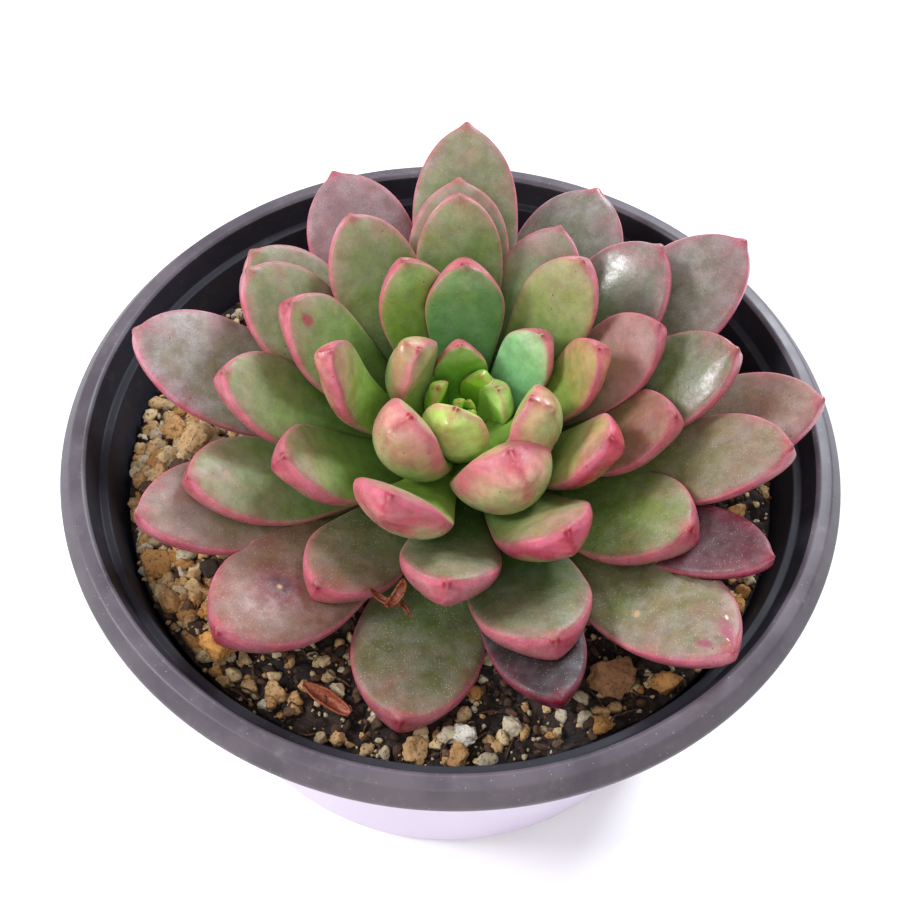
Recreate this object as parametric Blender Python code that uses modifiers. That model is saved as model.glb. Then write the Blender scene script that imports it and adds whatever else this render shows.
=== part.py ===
"""A rosette succulent growing in a shallow round plastic pot of gritty soil.

Metres, +Z up. The origin is the centre of the pot's base, on the surface it stands on, and -Y is the
side the crown leans towards. The rosette grows as a spiral: each leaf stands about 137.5 degrees
round from the one before. Leaves are made from the newest to the oldest, and each gives way to the
newer ones it would press against, so that touching leaves keep a hair's gap.
"""

import math

import bmesh
import bpy
from mathutils import Vector, noise
from mathutils.bvhtree import BVHTree

MM = 0.001
GAP = 0.3 * MM  # between pieces that touch

# Pot: a thin shell with a sloping flange round the mouth and a stacking ledge inside
RIM_RADIUS = 45 * MM
POT_HEIGHT = 45 * MM
FLANGE_WIDTH = 3.2 * MM
FLANGE_DROP = 1.9 * MM
EDGE_HEIGHT = 0.7 * MM
WALL = 0.8 * MM
LEDGE_DEPTH = 3.2 * MM
LEDGE_WIDTH = 1.0 * MM
MOUTH_RADIUS = RIM_RADIUS - FLANGE_WIDTH
LEDGE_RADIUS = MOUTH_RADIUS - 1.0 * MM
BASE_RADIUS = 31.8 * MM
DRAIN_HOLES = 4
DRAIN_RADIUS = 3 * MM
DRAIN_CIRCLE = 22 * MM
POT_STEPS = 48

# Soil
SOIL_LEVEL = 37 * MM
SOIL_RELIEF = 0.9 * MM
SOIL_RINGS = 9
SOIL_SPOKES = 40

# Rosette
OLDEST_LEAF = 52
GOLDEN_ANGLE = 137.508
FIRST_AZIMUTH = 20.0
SHED_LEAVES = (6, 48, 50, 51)
CROWN_FOOT = Vector((1.5 * MM, 1.0 * MM, 39.5 * MM))
CROWN_TILT = math.radians(10)
STEM_HEIGHT = 6.5 * MM
STEM_BURIED = 6 * MM
STEM_TOP_RADIUS = 0.6 * MM
STEM_FOOT_RADIUS = 3.3 * MM
WIDEST_AT = 0.70  # share of the leaf's length
BUD_LEAVES = 3
KEPT_DETAIL = 0.6  # share of the faces kept where a piece is cut back

# How single leaves differ from the plain spiral. For each leaf, counted from the newest:
# (turn in degrees, share of the usual length, lift of the tip in degrees,
#  share of the usual width, extra bend in degrees)
HABIT = {
    0: (48, 0.9, 6, 1.4, 0),
    1: (10, 1.26, 18, 1.7, 0),
    2: (-6, 0.93, 0, 1.2, 0),
    3: (65, 0.6, 12, 1.0, 0),
    4: (-34, 0.66, 20, 0.68, 0),
    5: (-10, 1.07, -6, 1.1, 0),
    7: (15, 1.02, 27, 1.15, 25),
    8: (-26, 1.0, 25, 1.2, 30),
    9: (0, 0.9, 22, 1.3, 30),
    10: (8, 1.14, 0, 1.15, 0),
    11: (-9, 0.84, 18, 1.45, 30),
    12: (7, 1.28, 14, 0.95, 25),
    13: (-16, 1.08, 8, 0.88, 20),
    14: (-8, 1.44, 12, 1.25, 25),
    15: (0, 1.03, 0, 1, 0),
    16: (-3, 1.05, 8, 1, 20),
    17: (2, 1.12, -4, 1.1, 20),
    18: (-14, 1.08, 0, 1.02, 0),
    19: (14, 1.1, 4, 1.1, 18),
    20: (7, 1.11, 2, 1, 10),
    21: (-17, 1.04, -6, 1, 12),
    22: (-1, 1.06, -18, 1.05, 15),
    23: (-3, 1.09, 0, 1, 0),
    24: (10, 1.13, -12, 1.2, 12),
    25: (-3, 1.13, -2, 1, 10),
    26: (-23, 0.95, 0, 0.92, 0),
    27: (-1, 0.96, 4, 1.02, 10),
    28: (-6, 1.01, 0, 1, 0),
    29: (-2, 1.32, -6, 1, 10),
    30: (-15, 1.13, -6, 1, 12),
    31: (-12, 0.88, 0, 0.9, 0),
    32: (-10, 1, -4, 1.15, 10),
    33: (-11, 1.01, 0, 1, 0),
    34: (-14, 1.04, 0, 0.95, 0),
    35: (13, 1.08, -18, 1.22, 0),
    36: (-16, 0.93, 0, 1, 0),
    37: (-1, 1.16, -6, 0.78, 0),
    38: (8, 1.14, -8, 1, 0),
    39: (-14, 0.92, 0, 1, 0),
    40: (8, 1.01, -6, 0.85, 0),
    41: (2, 0.92, 0, 1, 0),
    42: (-1, 1.14, -4, 0.95, 8),
    43: (0, 1.03, -4, 1.1, 0),
    44: (2, 1.04, 0, 1, 0),
    45: (3, 1.1, 0, 1, 0),
    46: (-6, 1.04, 0, 1, 0),
    47: (-2, 1.04, 0, 1, 0),
    49: (-4, 0.92, 0, 1, 0),
    52: (-4, 0.89, -6, 1, 0),
}

# Leaves of an unusual build: (share of the usual thickness, where they are widest, rise of the root
# in mm)
BUILD = {
    0: (1, 0.6, 0),
    1: (1.1, 0.55, 1.2),
    2: (1, 0.6, 0),
    7: (1.15, 0.6, 0.6),
    8: (1.2, 0.55, 2.4),
    9: (1.3, 0.5, 3.2),
    11: (1.35, 0.5, 2.6),
    14: (0.8, 0.7, 1.7),
}

# Loose stones on the soil: name: (x, y, half sizes), all in millimetres
STONES = {
    "pumice_ochre": (-24.6, -25.8, (2.3, 1.8, 1.6)),
    "pumice_brown": (18.4, -27.6, (3.0, 2.7, 2.0)),
    "perlite_white": (2.6, -34.6, (1.6, 1.3, 1.1)),
}
DRY_SCRAP_AT = (-12.5, -31.0)
DRY_SCRAP_HALF = (2.7, 1.2, 0.4)

LEAF_GREEN = (0.23, 0.30, 0.10)
LEAF_ROSE = (0.42, 0.22, 0.20)
POT_BLACK = (0.045, 0.043, 0.055)
SOIL_BROWN = (0.045, 0.028, 0.018)
PUMICE_OCHRE = (0.50, 0.30, 0.14)
PERLITE_WHITE = (0.72, 0.70, 0.66)
DRY_BROWN = (0.16, 0.06, 0.03)


def lerp(a, b, share):
    return a + (b - a) * share


def blend(first, second, share):
    return tuple(lerp(a, b, share) for a, b in zip(first, second))


def clear_scene():
    for obj in list(bpy.data.objects):
        bpy.data.objects.remove(obj, do_unlink=True)


def new_collection(name):
    collection = bpy.data.collections.new(name)
    bpy.context.scene.collection.children.link(collection)
    return collection


def paint(obj, colour, roughness):
    material = bpy.data.materials.new(obj.name)
    material.use_nodes = True
    shader = material.node_tree.nodes["Principled BSDF"]
    shader.inputs["Base Color"].default_value = (*colour, 1)
    shader.inputs["Roughness"].default_value = roughness
    obj.data.materials.clear()
    obj.data.materials.append(material)


def object_from(bm, name, collection):
    mesh = bpy.data.meshes.new(name)
    bm.to_mesh(mesh)
    bm.free()
    obj = bpy.data.objects.new(name, mesh)
    collection.objects.link(obj)
    return obj


def leaf_shape(number):
    """Sizes of one leaf, from the newest (0) to the oldest, in metres and degrees."""
    age = number / OLDEST_LEAF
    turn, stretch, lift, widen, extra_bend = HABIT[number]
    fullness, widest_at, rise = BUILD.get(number, (1, WIDEST_AT, 0))
    return {
        "azimuth": FIRST_AZIMUTH - GOLDEN_ANGLE * number + turn,
        "length": (8 + 31 * age**0.75) * stretch * MM,
        "width": (3.2 + 10.5 * age**0.5) * widen * MM,
        "tip_angle": 88 - 62 * age**0.8 + lift,
        "bend": 75 - 45 * age**0.7 + extra_bend,
        "thickness": lerp(0.40, 0.33, age) * fullness,
        "widest_at": widest_at,
        "foot": lerp(0.62, 0.34, min(1.0, number / 12)),
        "height": STEM_HEIGHT * (1 - age) ** 1.2 + rise * MM,
        "radius": lerp(0.9, 3.6, age**0.7) * MM,
    }


def bud_shape(number):
    """Sizes of one of the unopened leaves, which carry the spiral on past the newest leaf."""
    return {
        "azimuth": FIRST_AZIMUTH + GOLDEN_ANGLE * (number + 1),
        "length": (5.2 - 0.7 * number) * MM,
        "width": (2.4 - 0.3 * number) * MM,
        "tip_angle": 95,
        "bend": 30,
        "thickness": 0.45,
        "widest_at": WIDEST_AT,
        "foot": 0.6,
        "height": STEM_HEIGHT + (0.9 + 0.4 * number) * MM,
        "radius": 0.1 * MM,
    }


def half_width(along, shape):
    """Half the leaf's width at a share of its length: a narrow base, widest well out, a blunt end."""
    widest_at = shape["widest_at"]
    if along < widest_at:
        s = along / widest_at
        share = lerp(shape["foot"], 1.0, s * s * (3 - 2 * s))
    else:
        s = (along - widest_at) / (1 - widest_at)
        share = (1 - s**2.3) ** 0.58
    return 0.5 * shape["width"] * share


def spine_point(shape, along):
    """Where the middle of the upper face runs, out and up from the crown, and how steeply it climbs.

    The leaf leaves the stem low and bends upwards, most sharply near its base."""
    steps = 16
    tip_angle = math.radians(shape["tip_angle"])
    bend = math.radians(shape["bend"])
    out, up = shape["radius"], shape["height"]
    for step in range(steps):
        angle = tip_angle - bend * (1 - along * (step + 0.5) / steps) ** 2
        out += math.cos(angle) * shape["length"] * along / steps
        up += math.sin(angle) * shape["length"] * along / steps
    return out, up, tip_angle - bend * (1 - along) ** 2


def leaf_point(shape, polar, around):
    """A point of the leaf's skin: polar runs from base (0) to tip (pi), around goes round the section."""
    along = (1 - math.cos(polar)) / 2
    width = shape["width"]
    half = half_width(along, shape)
    if along < 0.5:
        closing = min(1.0, 2.4 * math.sin(polar))
        side = half * closing * math.cos(around)
    else:
        closing = (2 * half / width) ** 0.6
        side = half * math.cos(around)
    if math.sin(around) >= 0:
        deep = 0.08 * width * closing * math.sin(around)
    else:
        fullness = lerp(0.5, 1.0, min(1.0, along * 1.6))
        deep = shape["thickness"] * fullness * width * closing * math.sin(around)
    out, up, angle = spine_point(shape, along)
    azimuth = math.radians(shape["azimuth"])
    out -= deep * math.sin(angle)
    up += deep * math.cos(angle)
    return Vector(
        (
            out * math.cos(azimuth) - side * math.sin(azimuth),
            out * math.sin(azimuth) + side * math.cos(azimuth),
            up,
        )
    )


def leaf_bmesh(shape):
    """A ball reshaped into a thick, keeled, spoon-shaped leaf."""
    bm = bmesh.new()
    bmesh.ops.create_uvsphere(bm, u_segments=10, v_segments=8, radius=1)
    for vert in bm.verts:
        polar = math.acos(max(-1.0, min(1.0, vert.co.z)))
        vert.co = leaf_point(shape, polar, math.atan2(vert.co.y, vert.co.x))
    bmesh.ops.triangulate(bm, faces=bm.faces)
    bmesh.ops.recalc_face_normals(bm, faces=bm.faces)
    return bm


def add_clearance(obj, collection):
    """A copy swollen by the gap, which cuts away whatever would press into the piece."""
    bm = bmesh.new()
    bm.from_mesh(obj.data)
    bm.normal_update()
    shifts = [vert.normal * GAP for vert in bm.verts]
    for vert, shift in zip(bm.verts, shifts):
        vert.co += shift
    copy = object_from(bm, f"{obj.name}_clearance", collection)
    copy.matrix_world = obj.matrix_world
    copy.hide_render = True
    copy.display_type = "WIRE"
    return copy


def island_of(start, seen):
    island, front = [], [start]
    seen.add(start)
    while front:
        face = front.pop()
        island.append(face)
        for edge in face.edges:
            for neighbour in edge.link_faces:
                if neighbour not in seen:
                    seen.add(neighbour)
                    front.append(neighbour)
    return island


def keep_main_body(mesh):
    """Drops the crumbs that cutting leaves, and closes up points that almost coincide."""
    bm = bmesh.new()
    bm.from_mesh(mesh)
    seen, islands = set(), []
    for face in bm.faces:
        if face not in seen:
            islands.append(island_of(face, seen))
    islands.sort(key=lambda faces: sum(face.calc_area() for face in faces))
    for island in islands[:-1]:
        bmesh.ops.delete(bm, geom=island, context="FACES")
    bmesh.ops.triangulate(bm, faces=bm.faces)
    bmesh.ops.dissolve_degenerate(bm, dist=0.005 * MM, edges=bm.edges)
    bmesh.ops.triangulate(bm, faces=bm.faces)
    bm.to_mesh(mesh)
    bm.free()


def bounds(obj):
    corners = [obj.matrix_world @ vert.co for vert in obj.data.vertices]
    low = Vector(min(c[i] for c in corners) for i in range(3))
    high = Vector(max(c[i] for c in corners) for i in range(3))
    return low, high


def boxes_meet(first, second):
    (low, high), (other_low, other_high) = bounds(first), bounds(second)
    return all(low[i] <= other_high[i] and other_low[i] <= high[i] for i in range(3))


def give_way(obj, cutters, holder):
    """Cuts the piece back where it would press into the cutters near it."""
    near = [cutter for cutter in cutters if boxes_meet(obj, cutter)]
    if not near:
        return
    for cutter in near:
        holder.objects.link(cutter)
    cut = obj.modifiers.new("give_way", "BOOLEAN")
    cut.operation = "DIFFERENCE"
    cut.solver = "EXACT"
    cut.operand_type = "COLLECTION"
    cut.collection = holder
    thin_out = obj.modifiers.new("thin_out", "DECIMATE")
    thin_out.ratio = KEPT_DETAIL
    graph = bpy.context.evaluated_depsgraph_get()
    mesh = bpy.data.meshes.new_from_object(obj.evaluated_get(graph))
    obj.modifiers.clear()
    for cutter in near:
        holder.objects.unlink(cutter)
    keep_main_body(mesh)
    obj.data = mesh


def add_bud(collection):
    """The unopened leaves at the growing tip, grown together into one body."""
    bud = object_from(leaf_bmesh(bud_shape(0)), "growing_tip", collection)
    others = [
        object_from(leaf_bmesh(bud_shape(number)), "bud_leaf", collection) for number in range(1, BUD_LEAVES)
    ]
    for other in others:
        join = bud.modifiers.new("join", "BOOLEAN")
        join.operation = "UNION"
        join.solver = "EXACT"
        join.object = other
    graph = bpy.context.evaluated_depsgraph_get()
    mesh = bpy.data.meshes.new_from_object(bud.evaluated_get(graph))
    bud.modifiers.clear()
    for other in others:
        bpy.data.objects.remove(other, do_unlink=True)
    keep_main_body(mesh)
    bud.data = mesh
    return bud


def add_turned(name, outline, collection, steps):
    """A turned piece from its outline of (radius, height) points, running down the outer side."""
    mesh = bpy.data.meshes.new(name)
    edges = [(i, i + 1) for i in range(len(outline) - 1)]
    if outline[0][0] > 0:
        edges.append((len(outline) - 1, 0))
    mesh.from_pydata([(radius, 0, height) for radius, height in outline], edges, [])
    obj = bpy.data.objects.new(name, mesh)
    collection.objects.link(obj)
    screw = obj.modifiers.new("turn", "SCREW")
    screw.steps = screw.render_steps = steps
    screw.use_merge_vertices = True
    screw.merge_threshold = 0.01 * MM
    return obj


def add_stem(collection):
    """The short stem, which runs down into the soil."""
    outline = [(0, STEM_HEIGHT)]
    for share in (0, 0.35, 0.7, 1):
        outline.append((lerp(STEM_TOP_RADIUS, STEM_FOOT_RADIUS, share**0.6), STEM_HEIGHT * (1 - share)))
    outline += [(0.8 * STEM_FOOT_RADIUS, -STEM_BURIED), (0, -STEM_BURIED)]
    stem = add_turned("stem", outline, collection, 12)
    graph = bpy.context.evaluated_depsgraph_get()
    mesh = bpy.data.meshes.new_from_object(stem.evaluated_get(graph))
    stem.modifiers.clear()
    stem.data = mesh
    paint(stem, blend(LEAF_GREEN, DRY_BROWN, 0.5), 0.7)
    return stem


def lean(obj):
    """Stands a piece of the crown on the soil, tipped towards -Y."""
    obj.location = CROWN_FOOT
    obj.rotation_euler = (CROWN_TILT, 0, 0)


def add_rosette(collection, helpers, holder):
    """The stem, the growing tip and every leaf. It gives back the clearance copies of them all."""
    pieces = [add_stem(collection), add_bud(collection)]
    paint(pieces[1], (0.38, 0.46, 0.12), 0.5)
    for number in range(OLDEST_LEAF + 1):
        if number in SHED_LEAVES:
            continue
        leaf = object_from(leaf_bmesh(leaf_shape(number)), f"leaf_{number + 1:02d}", collection)
        paint(leaf, blend(LEAF_GREEN, LEAF_ROSE, 0.3 + 0.4 * number / OLDEST_LEAF), 0.45)
        pieces.append(leaf)
    for piece in pieces:
        lean(piece)
    bpy.context.view_layer.update()
    cutters = []
    for piece in pieces:
        clearance = add_clearance(piece, helpers)
        bpy.context.view_layer.update()
        give_way(piece, cutters, holder)
        cutters.append(clearance)
    return pieces, cutters


def add_pot(collection, helpers):
    slope = 0.6 * FLANGE_WIDTH
    outline = [
        (MOUTH_RADIUS + 0.5 * MM, POT_HEIGHT),
        (MOUTH_RADIUS + slope, POT_HEIGHT - 0.25 * MM),
        (RIM_RADIUS - 0.3 * MM, POT_HEIGHT - FLANGE_DROP + 0.4 * MM),
        (RIM_RADIUS, POT_HEIGHT - FLANGE_DROP),
        (RIM_RADIUS, POT_HEIGHT - FLANGE_DROP - EDGE_HEIGHT),
        (RIM_RADIUS - 0.6 * MM, POT_HEIGHT - FLANGE_DROP - EDGE_HEIGHT),
        (MOUTH_RADIUS + slope, POT_HEIGHT - 1.3 * MM),
        (MOUTH_RADIUS + WALL, POT_HEIGHT - 1.3 * MM),
        (LEDGE_RADIUS + WALL, POT_HEIGHT - LEDGE_DEPTH - WALL),
        (LEDGE_RADIUS - LEDGE_WIDTH + WALL, POT_HEIGHT - LEDGE_DEPTH - WALL),
        (BASE_RADIUS, 1.2 * MM),
        (BASE_RADIUS - 0.6 * MM, 0),
        (BASE_RADIUS - 2.6 * MM, 0),
        (BASE_RADIUS - 3.4 * MM, 0.7 * MM),
        (0, 0.7 * MM),
        (0, 0.7 * MM + WALL),
        (BASE_RADIUS - 2.6 * MM, 0.7 * MM + WALL),
        (BASE_RADIUS - 1.2 * MM, 1.2 * MM + WALL),
        (LEDGE_RADIUS - LEDGE_WIDTH, POT_HEIGHT - LEDGE_DEPTH),
        (LEDGE_RADIUS, POT_HEIGHT - LEDGE_DEPTH),
        (MOUTH_RADIUS, POT_HEIGHT - 0.4 * MM),
    ]
    pot = add_turned("pot", outline, collection, POT_STEPS)
    for hole in range(DRAIN_HOLES):
        angle = math.tau * (hole + 0.5) / DRAIN_HOLES
        bm = bmesh.new()
        bmesh.ops.create_cone(
            bm, cap_ends=True, segments=16, radius1=DRAIN_RADIUS, radius2=DRAIN_RADIUS, depth=6 * MM
        )
        cutter = object_from(bm, f"drain_{hole + 1}", helpers)
        cutter.location = (DRAIN_CIRCLE * math.cos(angle), DRAIN_CIRCLE * math.sin(angle), 0)
        cutter.hide_render = True
        cutter.display_type = "WIRE"
        drain = pot.modifiers.new(cutter.name, "BOOLEAN")
        drain.operation = "DIFFERENCE"
        drain.solver = "EXACT"
        drain.object = cutter
    paint(pot, POT_BLACK, 0.5)
    return pot


def surface_of(objects):
    """The pieces' outsides, in world space, to cast rays at."""
    points, faces = [], []
    for obj in objects:
        start = len(points)
        points += [obj.matrix_world @ vert.co for vert in obj.data.vertices]
        faces += [[start + i for i in face.vertices] for face in obj.data.polygons]
    return BVHTree.FromPolygons(points, faces)


def soil_height(x, y, leaves):
    """The soil's surface: uneven, and pressed down under the leaves that lie on it."""
    grain = noise.noise(Vector((x, y, 0)) * 260) + 0.6 * noise.noise(Vector((x, y, 0.01)) * 600)
    height = SOIL_LEVEL + SOIL_RELIEF * grain
    hit, _, _, _ = leaves.ray_cast(Vector((x, y, 25 * MM)), Vector((0, 0, 1)), 25 * MM)
    if hit:
        height = min(height, hit.z - 0.7 * MM)
    return height


def add_soil(collection, pieces, cutters, holder):
    floor = 1.2 * MM + WALL + GAP
    floor_radius = BASE_RADIUS - 1.2 * MM - 2 * GAP
    wall_slope = (LEDGE_RADIUS - LEDGE_WIDTH - BASE_RADIUS + 1.2 * MM) / (POT_HEIGHT - LEDGE_DEPTH - floor)
    top_radius = floor_radius + wall_slope * (SOIL_LEVEL - floor)
    leaves = surface_of(pieces)
    bm = bmesh.new()
    rings = []
    for ring in range(1, SOIL_RINGS + 1):
        radius = top_radius * (ring / SOIL_RINGS) ** 0.8
        verts = []
        for spoke in range(SOIL_SPOKES):
            angle = math.tau * (spoke + 0.5 * (ring % 2)) / SOIL_SPOKES
            x, y = radius * math.cos(angle), radius * math.sin(angle)
            height = soil_height(x, y, leaves)
            if ring == SOIL_RINGS:
                height = min(height, SOIL_LEVEL)
            verts.append(bm.verts.new((x, y, height)))
        rings.append(verts)
    centre = bm.verts.new((0, 0, soil_height(0, 0, leaves)))
    bottom = bm.verts.new((0, 0, floor))
    foot = []
    for spoke in range(SOIL_SPOKES):
        angle = math.tau * (spoke + 0.5 * (SOIL_RINGS % 2)) / SOIL_SPOKES
        foot.append(bm.verts.new((floor_radius * math.cos(angle), floor_radius * math.sin(angle), floor)))
    for i in range(SOIL_SPOKES):
        j = (i + 1) % SOIL_SPOKES
        bm.faces.new((centre, rings[0][i], rings[0][j]))
        bm.faces.new((bottom, foot[j], foot[i]))
        bm.faces.new((rings[-1][i], foot[i], foot[j], rings[-1][j]))
    for ring in range(SOIL_RINGS - 1):
        inner, outer = rings[ring], rings[ring + 1]
        for i in range(SOIL_SPOKES):
            j = (i + 1) % SOIL_SPOKES
            if ring % 2 == 0:
                bm.faces.new((inner[i], outer[i], inner[j]))
                bm.faces.new((outer[i], outer[j], inner[j]))
            else:
                bm.faces.new((inner[i], outer[i], outer[j]))
                bm.faces.new((inner[i], outer[j], inner[j]))
    bmesh.ops.recalc_face_normals(bm, faces=bm.faces)
    soil = object_from(bm, "soil", collection)
    bpy.context.view_layer.update()
    give_way(soil, cutters, holder)
    paint(soil, SOIL_BROWN, 0.95)
    return soil


def settle(obj, surface):
    """Lowers a loose piece until it all but touches what lies below it."""
    bpy.context.view_layer.update()
    clear = []
    for vert in obj.data.vertices:
        point = obj.matrix_world @ vert.co
        hit, _, _, _ = surface.ray_cast(point, Vector((0, 0, -1)))
        if hit:
            clear.append(point.z - hit.z)
    obj.location.z -= min(clear) - GAP


def add_lump(name, x, y, half_sizes, collection, surface, colour):
    """A rough stone or scrap, knobbly by a few per cent, set down on the surface."""
    bm = bmesh.new()
    bmesh.ops.create_icosphere(bm, subdivisions=2, radius=1)
    for vert in bm.verts:
        swell = 1 + 0.22 * noise.noise(vert.co * 1.4 + Vector((x, y, 0)))
        vert.co = Vector(co * half * MM for co, half in zip(vert.co * swell, half_sizes))
    lump = object_from(bm, name, collection)
    lump.location = (x * MM, y * MM, SOIL_LEVEL + 8 * MM)
    lump.rotation_euler = (0, 0, x + y)
    settle(lump, surface)
    paint(lump, colour, 0.9)
    return lump


def main():
    clear_scene()
    collection = new_collection("potted_succulent")
    helpers = new_collection("cutters")
    holder = new_collection("cutting_now")
    pieces, cutters = add_rosette(collection, helpers, holder)
    add_pot(collection, helpers)
    soil = add_soil(collection, pieces, cutters, holder)
    for cutter in cutters:
        bpy.data.objects.remove(cutter, do_unlink=True)
    bpy.data.collections.remove(holder)
    surface = surface_of([soil])
    colours = {"pumice_ochre": PUMICE_OCHRE, "pumice_brown": blend(PUMICE_OCHRE, SOIL_BROWN, 0.4)}
    for name, (x, y, half_sizes) in STONES.items():
        add_lump(name, x, y, half_sizes, collection, surface, colours.get(name, PERLITE_WHITE))
    add_lump("dry_leaf_scrap", *DRY_SCRAP_AT, DRY_SCRAP_HALF, collection, surface, DRY_BROWN)


main()
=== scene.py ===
"""The looks of the potted rosette succulent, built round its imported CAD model.

Every leaf is made again from the same growth rule as its CAD solid, finely enough for its margins,
keel and point to show, and then gives way where a newer leaf presses on it. The soil, its grit, the
pot and the loose scraps are detailed pieces of their own. Lengths are in metres, +Z is up.
"""

import math
import random

import bmesh
import bpy
import numpy as np
from mathutils import Euler, Matrix, Vector, noise
from mathutils.bvhtree import BVHTree


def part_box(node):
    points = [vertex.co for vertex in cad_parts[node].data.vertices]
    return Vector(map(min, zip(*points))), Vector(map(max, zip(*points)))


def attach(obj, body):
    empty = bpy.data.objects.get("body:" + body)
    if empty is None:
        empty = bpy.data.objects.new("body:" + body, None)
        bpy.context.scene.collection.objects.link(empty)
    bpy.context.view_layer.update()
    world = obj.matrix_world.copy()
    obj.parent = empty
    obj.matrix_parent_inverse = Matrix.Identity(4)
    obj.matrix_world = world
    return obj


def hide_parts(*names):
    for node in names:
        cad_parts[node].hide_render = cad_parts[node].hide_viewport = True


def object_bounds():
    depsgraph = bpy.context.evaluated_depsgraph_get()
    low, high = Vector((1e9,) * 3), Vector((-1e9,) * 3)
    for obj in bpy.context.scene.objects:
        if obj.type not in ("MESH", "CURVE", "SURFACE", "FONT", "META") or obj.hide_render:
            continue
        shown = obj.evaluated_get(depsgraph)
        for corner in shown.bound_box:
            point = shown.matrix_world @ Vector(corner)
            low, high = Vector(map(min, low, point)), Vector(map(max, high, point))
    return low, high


MM = 0.001
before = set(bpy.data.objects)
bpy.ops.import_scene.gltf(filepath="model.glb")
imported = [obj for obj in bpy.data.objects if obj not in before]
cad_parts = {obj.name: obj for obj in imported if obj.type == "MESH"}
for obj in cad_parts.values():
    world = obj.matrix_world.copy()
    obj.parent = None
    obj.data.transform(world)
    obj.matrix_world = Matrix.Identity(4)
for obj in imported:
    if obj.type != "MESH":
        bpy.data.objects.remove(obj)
CAD_LOW, CAD_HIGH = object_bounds()
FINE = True
noise.seed_set(7)


def lerp(a, b, share):
    return a + (b - a) * share


def smooth(x, low, high):
    """0 below low, 1 above high, and an even rise between."""
    s = np.clip((np.asarray(x, float) - low) / (high - low), 0, 1)
    return s * s * (3 - 2 * s)


def srgb(red, green, blue):
    """A colour from its usual 0 to 255 values, made linear."""
    return tuple(((c / 255 + 0.055) / 1.055) ** 2.4 if c > 10 else c / 3294 for c in (red, green, blue))


def mixed(first, second, share):
    return tuple(lerp(a, b, share) for a, b in zip(first, second))


def polar(radius, angle):
    return radius * math.cos(angle), radius * math.sin(angle)


def scattered(rng, reach, inner_share):
    """A place drawn evenly from a ring: up to reach from the axis, less the inner share of the disc."""
    return polar(reach * math.sqrt(rng.uniform(inner_share, 1)), rng.uniform(0, math.tau))


def link(name, data):
    obj = bpy.data.objects.new(name, data)
    bpy.context.scene.collection.objects.link(obj)
    return obj


# ---------------------------------------------------------------- materials


class Paint:
    """Builds one node material, a socket at a time."""

    def __init__(self, name):
        self.material = bpy.data.materials.new(name)
        self.material.use_nodes = True
        self.tree = self.material.node_tree
        self.shader = self.tree.nodes["Principled BSDF"]
        self.place = self.tree.nodes.new("ShaderNodeTexCoord").outputs["Object"]

    def put(self, socket, value):
        if isinstance(value, bpy.types.NodeSocket):
            self.tree.links.new(value, socket)
        elif isinstance(value, tuple) and len(value) == 3 and len(socket.default_value) == 4:
            socket.default_value = (*value, 1)
        else:
            socket.default_value = value

    def set(self, **values):
        """Sets the shader's own sockets, such as base_color=... or roughness=..."""
        for name, value in values.items():
            self.put(self.shader.inputs[name.replace("_", " ").title().replace("Ior", "IOR")], value)

    def attribute(self, name):
        node = self.tree.nodes.new("ShaderNodeAttribute")
        node.attribute_name = name
        return node.outputs["Fac"]

    def math(self, operation, first, second=0.0, third=0.0):
        node = self.tree.nodes.new("ShaderNodeMath")
        node.operation = operation
        for socket, value in zip(node.inputs, (first, second, third)):
            self.put(socket, value)
        return node.outputs[0]

    def times(self, first, second):
        return self.math("MULTIPLY", first, second)

    def plus(self, first, second):
        return self.math("ADD", first, second)

    def minus(self, first, second):
        return self.math("SUBTRACT", first, second)

    def swayed(self, value, cloud, amount):
        """The value, moved up and down by noise."""
        return self.math("MULTIPLY_ADD", self.minus(cloud, 0.5), amount, value)

    def ramp(self, value, low, high, start=0.0, end=1.0):
        node = self.tree.nodes.new("ShaderNodeMapRange")
        node.interpolation_type = "SMOOTHSTEP"
        for name, number in (("Value", value), ("From Min", low), ("From Max", high)):
            self.put(node.inputs[name], number)
        self.put(node.inputs["To Min"], start)
        self.put(node.inputs["To Max"], end)
        return node.outputs["Result"]

    def mix(self, share, first, second):
        """The first colour where share is 0, the second where it is 1."""
        node = self.tree.nodes.new("ShaderNodeMix")
        node.data_type = "RGBA"
        self.put(node.inputs["Factor"], share)
        self.put(node.inputs[6], first)
        self.put(node.inputs[7], second)
        return node.outputs[2]

    def moved(self, shift):
        node = self.tree.nodes.new("ShaderNodeMapping")
        self.put(node.inputs["Vector"], self.place)
        node.inputs["Location"].default_value = shift
        return node.outputs["Vector"]

    def noise(self, size, detail=3.0, where=None, rough=0.55):
        """Soft noise with features of about this size in metres."""
        node = self.tree.nodes.new("ShaderNodeTexNoise")
        self.put(node.inputs["Vector"], where or self.place)
        node.inputs["Scale"].default_value = 1 / size
        node.inputs["Detail"].default_value = detail
        node.inputs["Roughness"].default_value = rough
        return node.outputs["Fac"]

    def specks(self, cell, radius, share, where=None):
        """Round dots of this radius, in this share of the cells."""
        node = self.tree.nodes.new("ShaderNodeTexVoronoi")
        self.put(node.inputs["Vector"], where or self.place)
        node.inputs["Scale"].default_value = 1 / cell
        dot = self.ramp(node.outputs["Distance"], 0.6 * radius / cell, radius / cell, 1.0, 0.0)
        split = self.tree.nodes.new("ShaderNodeSeparateColor")
        self.put(split.inputs[0], node.outputs["Color"])
        picked = self.math("LESS_THAN", split.outputs[0], share)
        return self.times(dot, picked)

    def bump(self, height, strength, distance, before=None):
        node = self.tree.nodes.new("ShaderNodeBump")
        node.inputs["Strength"].default_value = strength
        node.inputs["Distance"].default_value = distance
        self.put(node.inputs["Height"], height)
        if before is not None:
            self.put(node.inputs["Normal"], before)
        return node.outputs["Normal"]


# ------------------------------------------------------------------- meshes


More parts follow.
